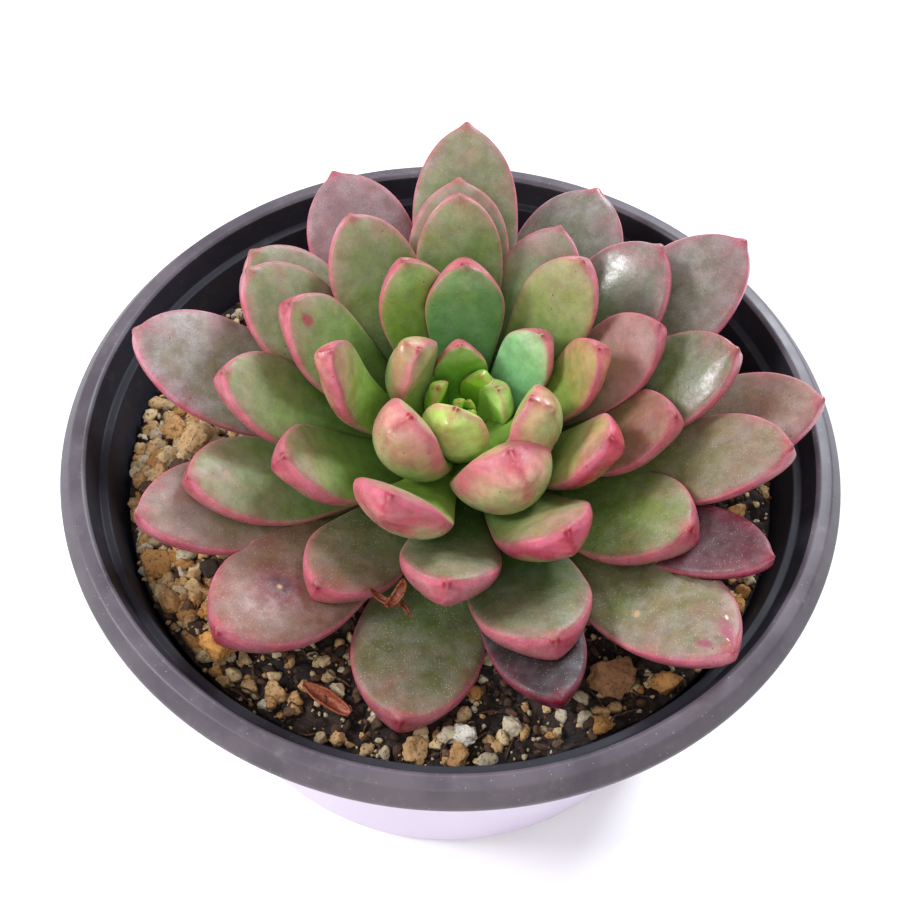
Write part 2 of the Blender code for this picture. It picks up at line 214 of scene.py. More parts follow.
def mesh_from(name, points, faces, attributes=None):
    """A smooth-shaded mesh, with a value of each attribute for every point."""
    mesh = bpy.data.meshes.new(name)
    mesh.from_pydata([tuple(p) for p in points], [], faces)
    mesh.update()
    mesh.polygons.foreach_set("use_smooth", [True] * len(mesh.polygons))
    for key, values in (attributes or {}).items():
        layer = mesh.attributes.new(key, "FLOAT", "POINT")
        layer.data.foreach_set("value", np.asarray(values, np.float32))
    return mesh


def add_piece(name, mesh, material, stands_for=()):
    """Links a piece, paints it, and lets it ride on the part's one body."""
    obj = link(name, mesh)
    if material is not None:
        mesh.materials.append(material)
    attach(obj, "root")
    if stands_for:
        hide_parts(*stands_for)
    return obj


# ------------------------------------------------------------------- leaves

OLDEST_LEAF = 52
BUD_NUMBER = 60  # the unopened leaves are numbered from here, past the last open one
GOLDEN_ANGLE = 137.508
FIRST_AZIMUTH = 20.0
STEM_HEIGHT = 6.5 * MM
CROWN = Matrix.Translation((1.5 * MM, 1.0 * MM, 39.5 * MM)) @ Matrix.Rotation(math.radians(10), 4, "X")
WIDEST_AT = 0.70
GAP = 0.12 * MM
PRESSED = 0.7 * MM  # a leaf gives way this far; what would lie deeper stays hidden in the newer one
UNEVENNESS = 0.16 * MM
MIDLINE_STEPS = 16

# As in the CAD model. For each leaf, counted from the newest: (turn in degrees, share of the usual
# length, lift of the tip in degrees, share of the usual width, extra bend in degrees)
HABIT = {
    0: (48, 0.9, 6, 1.4, 0),
    1: (10, 1.26, 18, 1.7, 0),
    2: (-6, 0.93, 0, 1.2, 0),
    3: (65, 0.6, 12, 1.0, 0),
    4: (-34, 0.66, 20, 0.68, 0),
    5: (-10, 1.07, -6, 1.1, 0),
    7: (15, 1.02, 27, 1.15, 25),
    8: (-26, 1.0, 25, 1.2, 30),
    9: (0, 0.9, 22, 1.3, 30),
    10: (8, 1.14, 0, 1.15, 0),
    11: (-9, 0.84, 18, 1.45, 30),
    12: (7, 1.28, 14, 0.95, 25),
    13: (-16, 1.08, 8, 0.88, 20),
    14: (-8, 1.44, 12, 1.25, 25),
    15: (0, 1.03, 0, 1, 0),
    16: (-3, 1.05, 8, 1, 20),
    17: (2, 1.12, -4, 1.1, 20),
    18: (-14, 1.08, 0, 1.02, 0),
    19: (14, 1.1, 4, 1.1, 18),
    20: (7, 1.11, 2, 1, 10),
    21: (-17, 1.04, -6, 1, 12),
    22: (-1, 1.06, -18, 1.05, 15),
    23: (-3, 1.09, 0, 1, 0),
    24: (10, 1.13, -12, 1.2, 12),
    25: (-3, 1.13, -2, 1, 10),
    26: (-23, 0.95, 0, 0.92, 0),
    27: (-1, 0.96, 4, 1.02, 10),
    28: (-6, 1.01, 0, 1, 0),
    29: (-2, 1.32, -6, 1, 10),
    30: (-15, 1.13, -6, 1, 12),
    31: (-12, 0.88, 0, 0.9, 0),
    32: (-10, 1, -4, 1.15, 10),
    33: (-11, 1.01, 0, 1, 0),
    34: (-14, 1.04, 0, 0.95, 0),
    35: (13, 1.08, -18, 1.22, 0),
    36: (-16, 0.93, 0, 1, 0),
    37: (-1, 1.16, -6, 0.78, 0),
    38: (8, 1.14, -8, 1, 0),
    39: (-14, 0.92, 0, 1, 0),
    40: (8, 1.01, -6, 0.85, 0),
    41: (2, 0.92, 0, 1, 0),
    42: (-1, 1.14, -4, 0.95, 8),
    43: (0, 1.03, -4, 1.1, 0),
    44: (2, 1.04, 0, 1, 0),
    45: (3, 1.1, 0, 1, 0),
    46: (-6, 1.04, 0, 1, 0),
    47: (-2, 1.04, 0, 1, 0),
    49: (-4, 0.92, 0, 1, 0),
    52: (-4, 0.89, -6, 1, 0),
}


# Leaves of an unusual build: (share of the usual thickness, where they are widest, rise of the root in mm)
BUILD = {
    0: (1, 0.6, 0),
    1: (1.1, 0.55, 1.2),
    2: (1, 0.6, 0),
    7: (1.15, 0.6, 0.6),
    8: (1.2, 0.55, 2.4),
    9: (1.3, 0.5, 3.2),
    11: (1.35, 0.5, 2.6),
    14: (0.8, 0.7, 1.7),
}


def leaf_shape(number):
    """A leaf's measures: with age it grows longer and wider, sinks down the stem and opens out."""
    age = number / OLDEST_LEAF
    turn, stretch, lift, widen, extra_bend = HABIT[number]
    fullness, widest_at, rise = BUILD.get(number, (1, WIDEST_AT, 0))
    return {
        "number": number,
        "azimuth": FIRST_AZIMUTH - GOLDEN_ANGLE * number + turn,
        "length": (8 + 31 * age**0.75) * stretch * MM,
        "width": (3.2 + 10.5 * age**0.5) * widen * MM,
        "tip_angle": 88 - 62 * age**0.8 + lift,
        "bend": 75 - 45 * age**0.7 + extra_bend,
        "thickness": lerp(0.40, 0.33, age) * fullness,
        "widest_at": widest_at,
        "foot": lerp(0.62, 0.34, min(1.0, number / 12)),
        "keel": 0.04 if number < 12 else 0.2,
        "height": STEM_HEIGHT * (1 - age) ** 1.2 + rise * MM,
        "radius": lerp(0.9, 3.6, age**0.7) * MM,
        "pointed": min(0.2, max(0.0, (number - 20) / 60)),
        "sink": lerp(0.11, 0.02, min(1.0, age * 1.6)),
        "beak": lerp(0.32, 0.55, min(1.0, age * 2)) * MM,
    }


def bud_shape(number):
    """The measures of an unopened leaf, each smaller and higher than the last."""
    return {
        "number": BUD_NUMBER + number,
        "azimuth": FIRST_AZIMUTH + GOLDEN_ANGLE * (number + 1),
        "length": (5.2 - 0.7 * number) * MM,
        "width": (2.4 - 0.3 * number) * MM,
        "tip_angle": 95,
        "bend": 30,
        "thickness": 0.45,
        "widest_at": WIDEST_AT,
        "foot": 0.6,
        "keel": 0.0,
        "height": STEM_HEIGHT + (0.9 + 0.4 * number) * MM,
        "radius": 0.1 * MM,
        "pointed": 0.0,
        "sink": 0.12,
        "beak": 0.3 * MM,
    }


def half_width(along, shape):
    """Half the leaf's width at a share of its length: narrow foot, full shoulder, short blunt end."""
    width, pointed, widest_at = shape["width"], shape["pointed"], shape["widest_at"]
    inner = lerp(shape["foot"], 1.0, smooth(along, 0, widest_at))
    s = np.clip((along - widest_at) / (1 - widest_at), 0, 1)
    outer = np.clip(1 - s ** lerp(2.3, 2.0, pointed), 0, 1) ** lerp(0.58, 0.72, pointed)
    return 0.5 * width * np.where(along < widest_at, inner, outer)


def midline(along, shape):
    """How far out and up the leaf's middle lies, and which way it points, at shares of its length."""
    tip_angle, bend = math.radians(shape["tip_angle"]), math.radians(shape["bend"])
    out = np.full_like(along, shape["radius"])
    up = np.full_like(along, shape["height"])
    for step in range(MIDLINE_STEPS):
        angle = tip_angle - bend * (1 - along * (step + 0.5) / MIDLINE_STEPS) ** 2
        out += np.cos(angle) * shape["length"] * along / MIDLINE_STEPS
        up += np.sin(angle) * shape["length"] * along / MIDLINE_STEPS
    return out, up, tip_angle - bend * (1 - along) ** 2


def closed_faces(rings, spokes, last):
    """The faces between rings of points, closed by a fan on the first and the last point."""
    faces = []
    for j in range(spokes):
        k = (j + 1) % spokes
        faces.append((0, 1 + k, 1 + j))
        faces.append((last, 1 + (rings - 2) * spokes + j, 1 + (rings - 2) * spokes + k))
        for i in range(rings - 2):
            a = 1 + i * spokes
            faces.append((a + j, a + k, a + spokes + k, a + spokes + j))
    return faces


def leaf_skin(shape, rings, spokes):
    """The leaf's skin as points, faces and what its material needs to know at each point."""
    polar = np.pi * np.arange(1, rings) / rings
    around = 2 * np.pi * np.arange(spokes) / spokes
    around = around - 0.22 * np.sin(2 * around)  # closer together at the two margins
    theta, turn = np.meshgrid(polar, around, indexing="ij")
    theta = np.concatenate([[0.0], theta.ravel(), [np.pi]])
    turn = np.concatenate([[np.pi / 2], turn.ravel(), [np.pi / 2]])
    along = (1 - np.cos(theta)) / 2
    across, lift = np.cos(turn), np.sin(turn)
    width = shape["width"]
    half = half_width(along, shape)
    base_closing = np.clip(2.4 * np.sin(theta), 0, 1)
    end_closing = (2 * half / width) ** 0.42
    closing = np.where(along < 0.5, base_closing, end_closing)
    side = half * across * np.where(along < 0.5, base_closing, 1)
    # The cross-section: nearly flat above with a low rolled margin, full and keeled below
    ridge = 0.007 * np.exp(-(((np.abs(across) - 0.90) / 0.09) ** 2)) * smooth(along, 0.25, 0.6)
    top = 0.095 * lift + ridge * (lift > 0)
    keel = shape["keel"] * smooth(along, 0.45, 0.95)
    under = (1 - keel) * lift - keel * (1 - np.abs(across)) ** 0.85
    fullness = shape["thickness"] * (0.5 + 0.5 * np.clip(along * 1.6, 0, 1))
    deep = np.where(lift >= 0, top, fullness * under) * width * closing
    deep = deep - shape["sink"] * width * smooth(along, 0.86, 1.0)
    out, up, angle = midline(along, shape)
    out = out - deep * np.sin(angle)
    up = up + deep * np.cos(angle)
    azimuth, tip_angle = math.radians(shape["azimuth"]), math.radians(shape["tip_angle"])
    x = out * math.cos(azimuth) - side * math.sin(azimuth)
    y = out * math.sin(azimuth) + side * math.cos(azimuth)
    points = np.stack([x, y, up], axis=1)
    # The small horny point at the leaf's end
    far = np.linalg.norm(points - points[-1], axis=1)
    spike = np.exp(-((far / (0.035 * width + 0.25 * MM)) ** 2))
    level = math.cos(tip_angle)
    forward = np.array([level * math.cos(azimuth), level * math.sin(azimuth), math.sin(tip_angle)])
    points = points + spike[:, None] * forward * shape["beak"]
    # Living tissue is never quite even
    for i, p in enumerate(points):
        spot = Vector(p) * 160 + Vector((shape["number"] * 3.7, 0, 0))
        points[i] += np.array(noise.noise_vector(spot)) * UNEVENNESS * float(smooth(along[i], 0.1, 0.5))
    marks = {
        "along": along,
        "across": across,
        "under": 0.5 - 0.5 * lift,
        "margin": np.maximum(np.abs(across) ** 8 * smooth(along, 0.3, 0.8), smooth(along, 0.95, 0.995)),
        "rim": smooth(np.abs(across), 0.94, 0.985) * smooth(along, 0.3, 0.55),
        "tip": np.exp(-((far / (0.03 * width + 0.30 * MM)) ** 2)) * (0.55 + 0.45 * (lift < 0.3)),
        "keel": np.exp(-((side / (0.045 * width)) ** 2)) * (lift < 0.25) * smooth(along, 0.6, 0.9),
    }
    return points, closed_faces(rings, spokes, len(points) - 1), marks


def crown_space(points):
    """The points moved from the stem's own frame to the leaning rosette's place in the pot."""
    turned = np.array(CROWN.to_3x3())
    return points @ turned.T + np.array(CROWN.translation)


class Skin:
    """A finished leaf's surface, for the others to press against."""

    def __init__(self, points, faces):
        self.low, self.high = points.min(0), points.max(0)
        self.tree = BVHTree.FromPolygons([Vector(p) for p in points], faces)


def give_way(points, newer):
    """Moves the points that would lie in a newer leaf to just outside it."""
    for _ in range(2):
        for skin in newer:
            near = np.all((points > skin.low - GAP) & (points < skin.high + GAP), axis=1)
            for i in np.nonzero(near)[0]:
                spot, normal, _, distance = skin.tree.find_nearest(Vector(points[i]))
                depth = (Vector(points[i]) - spot).dot(normal)
                if (depth < 0 and distance < PRESSED) or (depth >= 0 and distance < GAP):
                    points[i] = np.array(spot + normal * GAP)
    return points


def outward(faces, p):
    """The same faces, all turned to face out. A sample of them tells which way they face now."""
    volume = sum(np.dot(p[f[0]], np.cross(p[f[1]], p[f[2]])) for f in faces[:: max(1, len(faces) // 800)])
    return faces if volume > 0 else [tuple(reversed(f)) for f in faces]


YOUNG_GREEN = srgb(172, 206, 96)
LEAF_GREEN = srgb(120, 156, 76)
OLIVE = srgb(118, 136, 84)
TAN = srgb(176, 156, 112)
DUSK = srgb(154, 154, 114)
MAUVE = srgb(152, 138, 120)
PINK = srgb(208, 134, 134)
OLD_PINK = srgb(178, 112, 116)
DULL_ROSE = srgb(176, 100, 106)
ROSE = srgb(188, 80, 100)
# partly a painted highlight, for the bright line along the leaf margins
BRIGHT_ROSE_AND_HIGHLIGHT = srgb(232, 132, 154)
CRIMSON = srgb(158, 14, 54)
SPOT_RED = srgb(112, 36, 40)
BLOOM = srgb(206, 204, 214)
DUST = srgb(222, 210, 184)
PAINTED_SHADE_GREEN = srgb(54, 82, 34)
PALE_FOOT = srgb(212, 218, 172)
GROWN = 20  # from this leaf on, a leaf has its full colour

# How single leaves differ from the general run with age. green, end: the upper face near the stem and
# near the end, and belly: the under face, as 0 to 255 values; rose, streak, bloom, dust: strengths;
# until: where the green fades; gloss, powder: roughness of the upper face and what dust adds to it;
# blotches: (place along, place across, reach, colour, strength)
LOOK = {
    0: {"green": (130, 184, 66), "end": (164, 204, 84), "belly": (150, 194, 80), "rose": 0.2, "streak": 0.0},
    1: {"green": (176, 212, 104), "end": (204, 214, 140), "belly": (192, 214, 126), "rose": 0.5},
    2: {"green": (110, 166, 66), "end": (134, 172, 82), "rose": 0.25, "streak": 0.2},
    3: {"green": (168, 212, 104), "end": (196, 222, 140), "belly": (182, 218, 124), "rose": 0.35},
    4: {"green": (128, 174, 60), "end": (160, 186, 84), "belly": (140, 180, 70), "rose": 0.35},
    5: {"green": (140, 196, 140), "end": (178, 206, 152), "rose": 0.45, "until": 0.88},
    7: {"green": (140, 164, 92), "end": (206, 168, 146), "belly": (196, 172, 130), "rose": 0.6},
    8: {"green": (150, 180, 92), "end": (204, 176, 134), "belly": (198, 168, 126), "rose": 0.7},
    9: {"end": (206, 160, 140), "belly": (222, 164, 152), "rose": 0.6},
    10: {"green": (92, 138, 80), "end": (122, 152, 92), "rose": 0.55, "until": 0.88},
    11: {"end": (208, 150, 136), "belly": (222, 156, 150), "rose": 0.7},
    12: {"end": (176, 134, 116), "belly": (206, 140, 132), "rose": 0.9},
    13: {"green": (140, 164, 80), "end": (196, 156, 116), "belly": (204, 138, 118), "rose": 0.9},
    14: {"end": (198, 134, 132), "belly": (206, 120, 126), "rose": 0.7},
    15: {"green": (118, 152, 66), "end": (146, 158, 92), "rose": 0.7, "until": 0.88},
    16: {"green": (146, 166, 84), "end": (196, 148, 120), "belly": (190, 88, 94), "rose": 0.9},
    18: {"green": (130, 158, 82), "end": (170, 162, 116), "rose": 0.6, "until": 0.76},
    19: {"green": (128, 146, 82), "end": (168, 134, 110), "belly": (186, 90, 106), "rose": 0.9},
    20: {"blotches": [(0.92, 0.15, 0.14, srgb(160, 44, 74), 0.8)]},
    21: {"green": (108, 114, 60), "end": (150, 104, 88), "rose": 0.8, "until": 0.66},
    22: {"green": (98, 102, 66), "end": (146, 120, 98), "dust": 0.9},
    23: {"green": (104, 140, 74), "end": (144, 144, 100), "until": 0.81, "rose": 0.6},
    24: {"green": (96, 120, 50), "end": (136, 134, 90), "until": 0.81, "dust": 0.8},
    26: {"green": (140, 132, 92), "end": (164, 120, 112), "until": 0.56},
    27: {"green": (92, 112, 64), "end": (134, 124, 98), "until": 0.76, "dust": 0.9},
    29: {"green": (108, 116, 66), "end": (146, 122, 104), "until": 0.71, "dust": 0.7},
    31: {"green": (112, 140, 84), "end": (150, 132, 120), "rose": 0.8},
    32: {"green": (84, 110, 58), "end": (132, 126, 98), "until": 0.76, "dust": 0.9},
    34: {"green": (88, 110, 60), "end": (122, 120, 96), "until": 0.76, "gloss": 0.2, "powder": 0.02},
    35: {"green": (86, 98, 54), "end": (134, 116, 92), "until": 0.81, "dust": 1.0},
    # leaf 37: its own maroon, darkened further as painted shade for the shadow it lies in
    37: {
        "green": (72, 50, 52),
        "end": (104, 48, 60),
        "belly": (122, 26, 54),
        "rose": 0.4,
        "bloom": 0.2,
        "gloss": 0.22,
    },
    38: {"green": (112, 122, 80), "end": (150, 124, 112), "until": 0.66, "dust": 0.8},
    39: {"green": (104, 126, 92), "end": (148, 128, 126), "gloss": 0.16, "powder": 0.02},
    # leaf 40: nearly black, painted shade for the shadow it lies in under the leaves above
    40: {"green": (36, 40, 32), "end": (54, 28, 40), "belly": (74, 22, 40), "rose": 0.25, "bloom": 0.15},
    42: {"green": (112, 112, 66), "end": (152, 122, 108), "until": 0.66, "gloss": 0.24, "powder": 0.02},
    43: {
        "green": (112, 112, 70),
        "end": (150, 112, 98),
        "until": 0.56,
        "dust": 0.9,
        "blotches": [
            (0.76, 0.0, 0.34, srgb(116, 40, 56), 0.7),
            (0.75, 0.0, 0.15, srgb(78, 20, 34), 0.9),
            (0.76, 0.0, 0.035, srgb(196, 150, 100), 1.0),
        ],
    },
    45: {
        "green": (104, 114, 66),
        "end": (152, 126, 110),
        "until": 0.78,
        "dust": 0.9,
        "blotches": [
            (0.97, 0.35, 0.20, srgb(158, 62, 98), 0.7),
            (0.94, -0.45, 0.10, srgb(150, 52, 90), 0.7),
            (0.93, 0.55, 0.030, srgb(224, 204, 170), 1.0),
            (0.98, 0.1, 0.022, srgb(224, 204, 170), 1.0),
            (0.72, -0.45, 0.045, srgb(186, 152, 116), 0.9),
        ],
    },
    46: {"green": (126, 130, 98), "end": (160, 132, 134), "bloom": 0.8},
    47: {"green": (112, 118, 94), "end": (150, 122, 124), "gloss": 0.18, "powder": 0.02},
    49: {"green": (132, 116, 100), "end": (146, 116, 118), "until": 0.46},
    52: {"green": (110, 124, 96), "end": (146, 128, 126), "gloss": 0.2, "powder": 0.02},
}


def leaf_look(number):
    """The colours and strengths that a leaf's material takes, from its age and the table above."""
    age = number / OLDEST_LEAF
    if number < GROWN:
        green = mixed(YOUNG_GREEN, LEAF_GREEN, number / GROWN)
        end = mixed(TAN, DUSK, number / GROWN)
    else:
        green = mixed(LEAF_GREEN, OLIVE, min(1, (number - GROWN) / 15))
        end = mixed(DUSK, MAUVE, (number - GROWN) / (OLDEST_LEAF - GROWN))
    look = {
        "green": green,
        "end": end,
        "belly": mixed(PINK, OLD_PINK, min(1, number / 30)),
        "rose": 0.85,
        "streak": 0.9 if number < GROWN else 0.4,
        "bloom": lerp(0.1, 0.45, age),
        "dust": lerp(0.25, 0.7, age),
        "until": lerp(0.78, 0.84, age),
        "gloss": 0.3,
        "powder": 0.16,
        # painted shade at the foot: strong from the sixteenth leaf on, faint on the younger ones
        "painted_foot_shade": 0.85 if number > 15 else 0.15,
        "belly_from": lerp(0.62, 0.6, min(1, number / GROWN)),
    }
    for key, value in LOOK.get(number, {}).items():
        look[key] = srgb(*value) if key in ("green", "end", "belly") else value
    shape = leaf_shape(number)
    look["slender"] = shape["length"] / shape["width"]
    return look


def leaf_material(number, look):
    """Waxy living skin: green at the base, with painted shade darkening the foot of older leaves, dusky
    further out, rose along margins, keel and point, and a bright margin line that is partly a painted
    highlight.
    """
    paint = Paint(f"leaf_skin_{number + 1:02d}")
    along, under, across = paint.attribute("along"), paint.attribute("under"), paint.attribute("across")
    margin, rim = paint.attribute("margin"), paint.attribute("rim")
    tip, keel = paint.attribute("tip"), paint.attribute("keel")
    until, rose = look["until"], look["rose"]
    shift = paint.moved((number * 0.013, number * 0.007, 0))
    drift = paint.noise(4 * MM, 3, shift)
    fine = paint.noise(0.9 * MM, 4, shift)
    grain = paint.noise(0.16 * MM, 2, shift, 0.7)
    uneven = paint.swayed(along, drift, 0.6)
    sides = paint.times(paint.math("POWER", paint.math("ABSOLUTE", across), 5.0), 0.26)
    uneven = paint.plus(uneven, sides)
    colour = paint.mix(paint.ramp(uneven, until - 0.28, until + 0.34), look["green"], look["end"])
    flare = paint.times(paint.ramp(uneven, 0.86, 1.24), 0.7 * rose)
    colour = paint.mix(flare, colour, DULL_ROSE)
    # painted shade: the foot of the older leaves is darkened towards deep green, for the shade of the leaves
    # crowded over it
    colour = paint.mix(paint.ramp(along, 0.25, 0.72, look["painted_foot_shade"], 0.0), colour, PAINTED_SHADE_GREEN)
    # the under face keeps a paler green foot and turns rose further out
    foot = mixed(look["green"], PALE_FOOT, 0.45 if number < 16 else 0.15)
    belly = paint.mix(paint.ramp(uneven, look["belly_from"], look["belly_from"] + 0.4), foot, look["belly"])
    colour = paint.mix(paint.ramp(under, 0.46, 0.62), colour, belly)
    flush = paint.times(paint.ramp(drift, 0.42, 0.66), paint.ramp(under, 0.5, 0.65, 0.0, 0.55 * rose))
    colour = paint.mix(flush, colour, ROSE)
    # rose streaks along the margin, a brighter broken line on its edge that is partly rose and partly a
    # painted highlight on the rolled margin, crimson on the keel and point
    streaks = paint.swayed(margin, fine, 0.9)
    colour = paint.mix(paint.times(paint.ramp(streaks, 0.5, 1.15), 0.65 * rose), colour, ROSE)
    # the bright line on the margin's edge: rose colour with a painted highlight
    broken = paint.ramp(drift, 0.3, 0.5, 0.45, 1.0)
    colour = paint.mix(paint.times(paint.times(rim, broken), 0.6 * rose), colour, BRIGHT_ROSE_AND_HIGHLIGHT)
    smear = paint.times(keel, paint.ramp(paint.noise(0.6 * MM, 4, shift, 0.7), 0.34, 0.58))
    colour = paint.mix(paint.times(smear, 0.85 * look["streak"] * rose), colour, CRIMSON)
    ragged = paint.swayed(tip, fine, 0.7)
    colour = paint.mix(paint.times(paint.ramp(ragged, 0.25, 0.8), min(0.95, 0.35 + rose)), colour, CRIMSON)
    # cloudy light and dark, then the powdery bloom, scars, dust and small red spots
    shade = paint.tree.nodes.new("ShaderNodeHueSaturation")
    paint.put(shade.inputs["Value"], paint.ramp(paint.noise(1.6 * MM, 5, shift, 0.7), 0.3, 0.72, 0.70, 1.0))
    paint.put(shade.inputs["Color"], colour)
    shade.inputs["Saturation"].default_value = 1.1
    colour = shade.outputs["Color"]
    bloom = paint.times(paint.ramp(paint.noise(2.6 * MM, 4, shift, 0.65), 0.35, 0.7), look["bloom"])
    bloom = paint.times(bloom, paint.ramp(along, 0.3, 0.75))
    bloom = paint.times(bloom, paint.ramp(grain, 0.35, 0.62, 0.35, 1.0))
    colour = paint.mix(paint.times(bloom, 0.5), colour, BLOOM)
    for mark_along, mark_across, reach, ink, strength in look.get("blotches", ()):
        aside = paint.times(paint.minus(across, mark_across), 0.5)
        further = paint.times(paint.minus(along, mark_along), look["slender"])
        squares = paint.plus(paint.times(aside, aside), paint.times(further, further))
        reached = paint.swayed(paint.math("SQRT", squares), fine, 0.8 * reach)
        colour = paint.mix(paint.ramp(reached, 0.25 * reach, reach, strength, 0.0), colour, ink)
    dust = paint.specks(0.27 * MM, 0.06 * MM, 0.6, shift)
    gathered = paint.ramp(paint.noise(2.2 * MM, 4, paint.moved((0.03, 0.05, number * 0.01)), 0.7), 0.3, 0.6)
    dust = paint.times(dust, paint.times(gathered, 0.7 * look["dust"]))
    colour = paint.mix(paint.times(dust, paint.ramp(under, 0.5, 0.7, 1.0, 0.25)), colour, DUST)
    spots = paint.specks(1.3 * MM, 0.13 * MM, 0.34, shift)
    colour = paint.mix(paint.times(spots, 0.7), colour, SPOT_RED)
    paint.set(base_color=colour)
    gloss = look["gloss"]
    smudged = paint.ramp(paint.noise(1.2 * MM, 4, shift, 0.7), 0.35, 0.65, gloss, gloss + 0.16)
    powdery = paint.ramp(under, 0.3, 0.6, look["powder"], -0.05)
    paint.set(roughness=paint.plus(smudged, paint.plus(powdery, paint.times(dust, 0.3))))
    paint.set(subsurface_weight=0.12, subsurface_scale=1.2 * MM)
    paint.shader.inputs["Subsurface Radius"].default_value = (1.0, 0.5, 0.3)
    normal = paint.bump(fine, 0.3, 0.10 * MM)
    paint.set(normal=paint.bump(grain, 0.22, 0.03 * MM, normal))
    return paint.material


def add_growing_tip():
    """The unopened leaves at the centre, grown as one piece; returns their skins."""
    skins, clusters, faces, start = [], [], [], 0
    for number in range(3):
        points, bud_faces, marks = leaf_skin(bud_shape(number), 24, 20)
        bud_faces = outward(bud_faces, points)
        points = crown_space(points)
        skins.append(Skin(points, bud_faces))
        faces += [tuple(i + start for i in f) for f in bud_faces]
        clusters.append((points, marks))
        start += len(points)
    marks = {key: np.concatenate([bud[key] for _, bud in clusters]) for key in marks}
    mesh = mesh_from("growing_tip_skin", np.concatenate([points for points, _ in clusters]), faces, marks)
    look = dict(leaf_look(0), rose=0.3, until=0.8)
    add_piece("growing_tip_leaves", mesh, leaf_material(BUD_NUMBER, look), ["growing_tip"])
    return skins


def add_leaves():
    """Adds the growing tip and every leaf, newest first, and returns the leaves."""
    rings, spokes = (56, 48) if FINE else (30, 24)
    skins = add_growing_tip()
    pieces = []
    for number in sorted(HABIT):
        points, faces, marks = leaf_skin(leaf_shape(number), rings, spokes)
        faces = outward(faces, points)
        points = give_way(crown_space(points), skins)
        skins.append(Skin(points, faces))
        name = f"leaf_{number + 1:02d}"
        mesh = mesh_from(name + "_skin", points, faces, marks)
        material = leaf_material(number, leaf_look(number))
        pieces.append(add_piece(name + "_skin", mesh, material, [name]))
    return pieces


# ---------------------------------------------------------------------- pot

RIM_RADIUS = CAD_HIGH.x
POT_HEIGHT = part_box("pot")[1].z
FLANGE_WIDTH = 3.2 * MM
FLANGE_DROP = 1.9 * MM
WALL = 0.8 * MM
LEDGE_DEPTH = 3.2 * MM
MOUTH_RADIUS = RIM_RADIUS - FLANGE_WIDTH
LEDGE_RADIUS = MOUTH_RADIUS - 1.0 * MM
INNER_RADIUS = LEDGE_RADIUS - 1.0 * MM
BASE_RADIUS = 31.8 * MM
FLOOR_RISE = 0.7 * MM  # the pot's floor stands this far above the ring it rests on
DRAIN_HOLES = 4
DRAIN_PLACE = 22 * MM
DRAIN_RADIUS = 3 * MM
INSIDE, FLANGE, OUTSIDE = range(3)


def rounded(outline, cut=0.22 * MM):
    """The outline with each corner replaced by a short curve."""
    result = []
    count = len(outline)
    for i in range(count):
        here = np.array(outline[i])
        before, after = np.array(outline[i - 1]), np.array(outline[(i + 1) % count])
        if here[0] < 1e-6:
            result.append(tuple(here))
            continue
        first, second = before - here, after - here
        reach = min(cut, 0.4 * np.linalg.norm(first), 0.4 * np.linalg.norm(second))
        a = here + first / np.linalg.norm(first) * reach
        b = here + second / np.linalg.norm(second) * reach
        for share in (0, 0.33, 0.67, 1):
            spot = (1 - share) ** 2 * a + 2 * share * (1 - share) * here + share**2 * b
            result.append(tuple(spot))
    return result


def turned_mesh(name, outline, steps):
    """The closed outline of (radius, height) turned round the pot's axis."""
    points, faces = [], []
    for step in range(steps):
        angle = math.tau * step / steps
        points += [(*polar(r, angle), z) for r, z in outline]
    count = len(outline)
    for step in range(steps):
        a, b = step * count, (step + 1) % steps * count
        for i in range(count):
            j = (i + 1) % count
            if outline[i][0] < 1e-6 and outline[j][0] < 1e-6:
                continue
            faces.append((a + i, b + i, b + j, a + j))
    bm = bmesh.new()
    verts = [bm.verts.new(p) for p in points]
    for face in faces:
        bm.faces.new([verts[i] for i in face])
    bmesh.ops.remove_doubles(bm, verts=bm.verts, dist=0.001 * MM)
    bmesh.ops.recalc_face_normals(bm, faces=bm.faces)
    mesh = bpy.data.meshes.new(name)
    bm.to_mesh(mesh)
    bm.free()
    return mesh


def pot_plastic(name, first, second, dusty, rough):
    """Moulded plastic with cloudy colour, dust and dried splashes."""
    paint = Paint(name)
    cloud = paint.noise(7 * MM, 4)
    colour = paint.mix(paint.ramp(cloud, 0.3, 0.7), first, second)
    dust = paint.specks(0.6 * MM, 0.065 * MM, 0.45)
    colour = paint.mix(paint.times(dust, dusty), colour, srgb(196, 188, 180))
    smear = paint.ramp(paint.noise(2.2 * MM, 6, None, 0.75), 0.52, 0.78)
    colour = paint.mix(paint.times(smear, 0.4 * dusty), colour, srgb(150, 142, 146))
    paint.set(base_color=colour)
    paint.set(roughness=paint.ramp(cloud, 0.3, 0.7, rough, rough + 0.12))
    paint.set(normal=paint.bump(paint.noise(0.25 * MM, 3), 0.15, 0.03 * MM))
    return paint.material


def add_pot_materials(mesh):
    """A charcoal inside, a greyer flange and a pale outside, told apart by where each face lies."""
    inside = pot_plastic("pot_inside", srgb(17, 15, 28), srgb(25, 22, 37), 0.15, 0.6)
    flange = pot_plastic("pot_flange", srgb(76, 69, 79), srgb(98, 89, 97), 0.7, 0.4)
    outside = pot_plastic("pot_outside", srgb(216, 204, 228), srgb(222, 212, 232), 0.08, 0.36)
    mesh.materials.clear()
    for material in (inside, flange, outside):
        mesh.materials.append(material)
    for face in mesh.polygons:
        face.use_smooth = True
        x, y, z = face.center
        radius = math.hypot(x, y)
        faces_out = face.normal.x * x + face.normal.y * y > 0
        under_flange = radius < RIM_RADIUS - 1 * MM and z < POT_HEIGHT - 1.2 * MM
        if under_flange and (faces_out or face.normal.z < -0.5):
            face.material_index = OUTSIDE
        elif radius > MOUTH_RADIUS + 0.1 * MM:
            face.material_index = FLANGE
        else:
            face.material_index = INSIDE


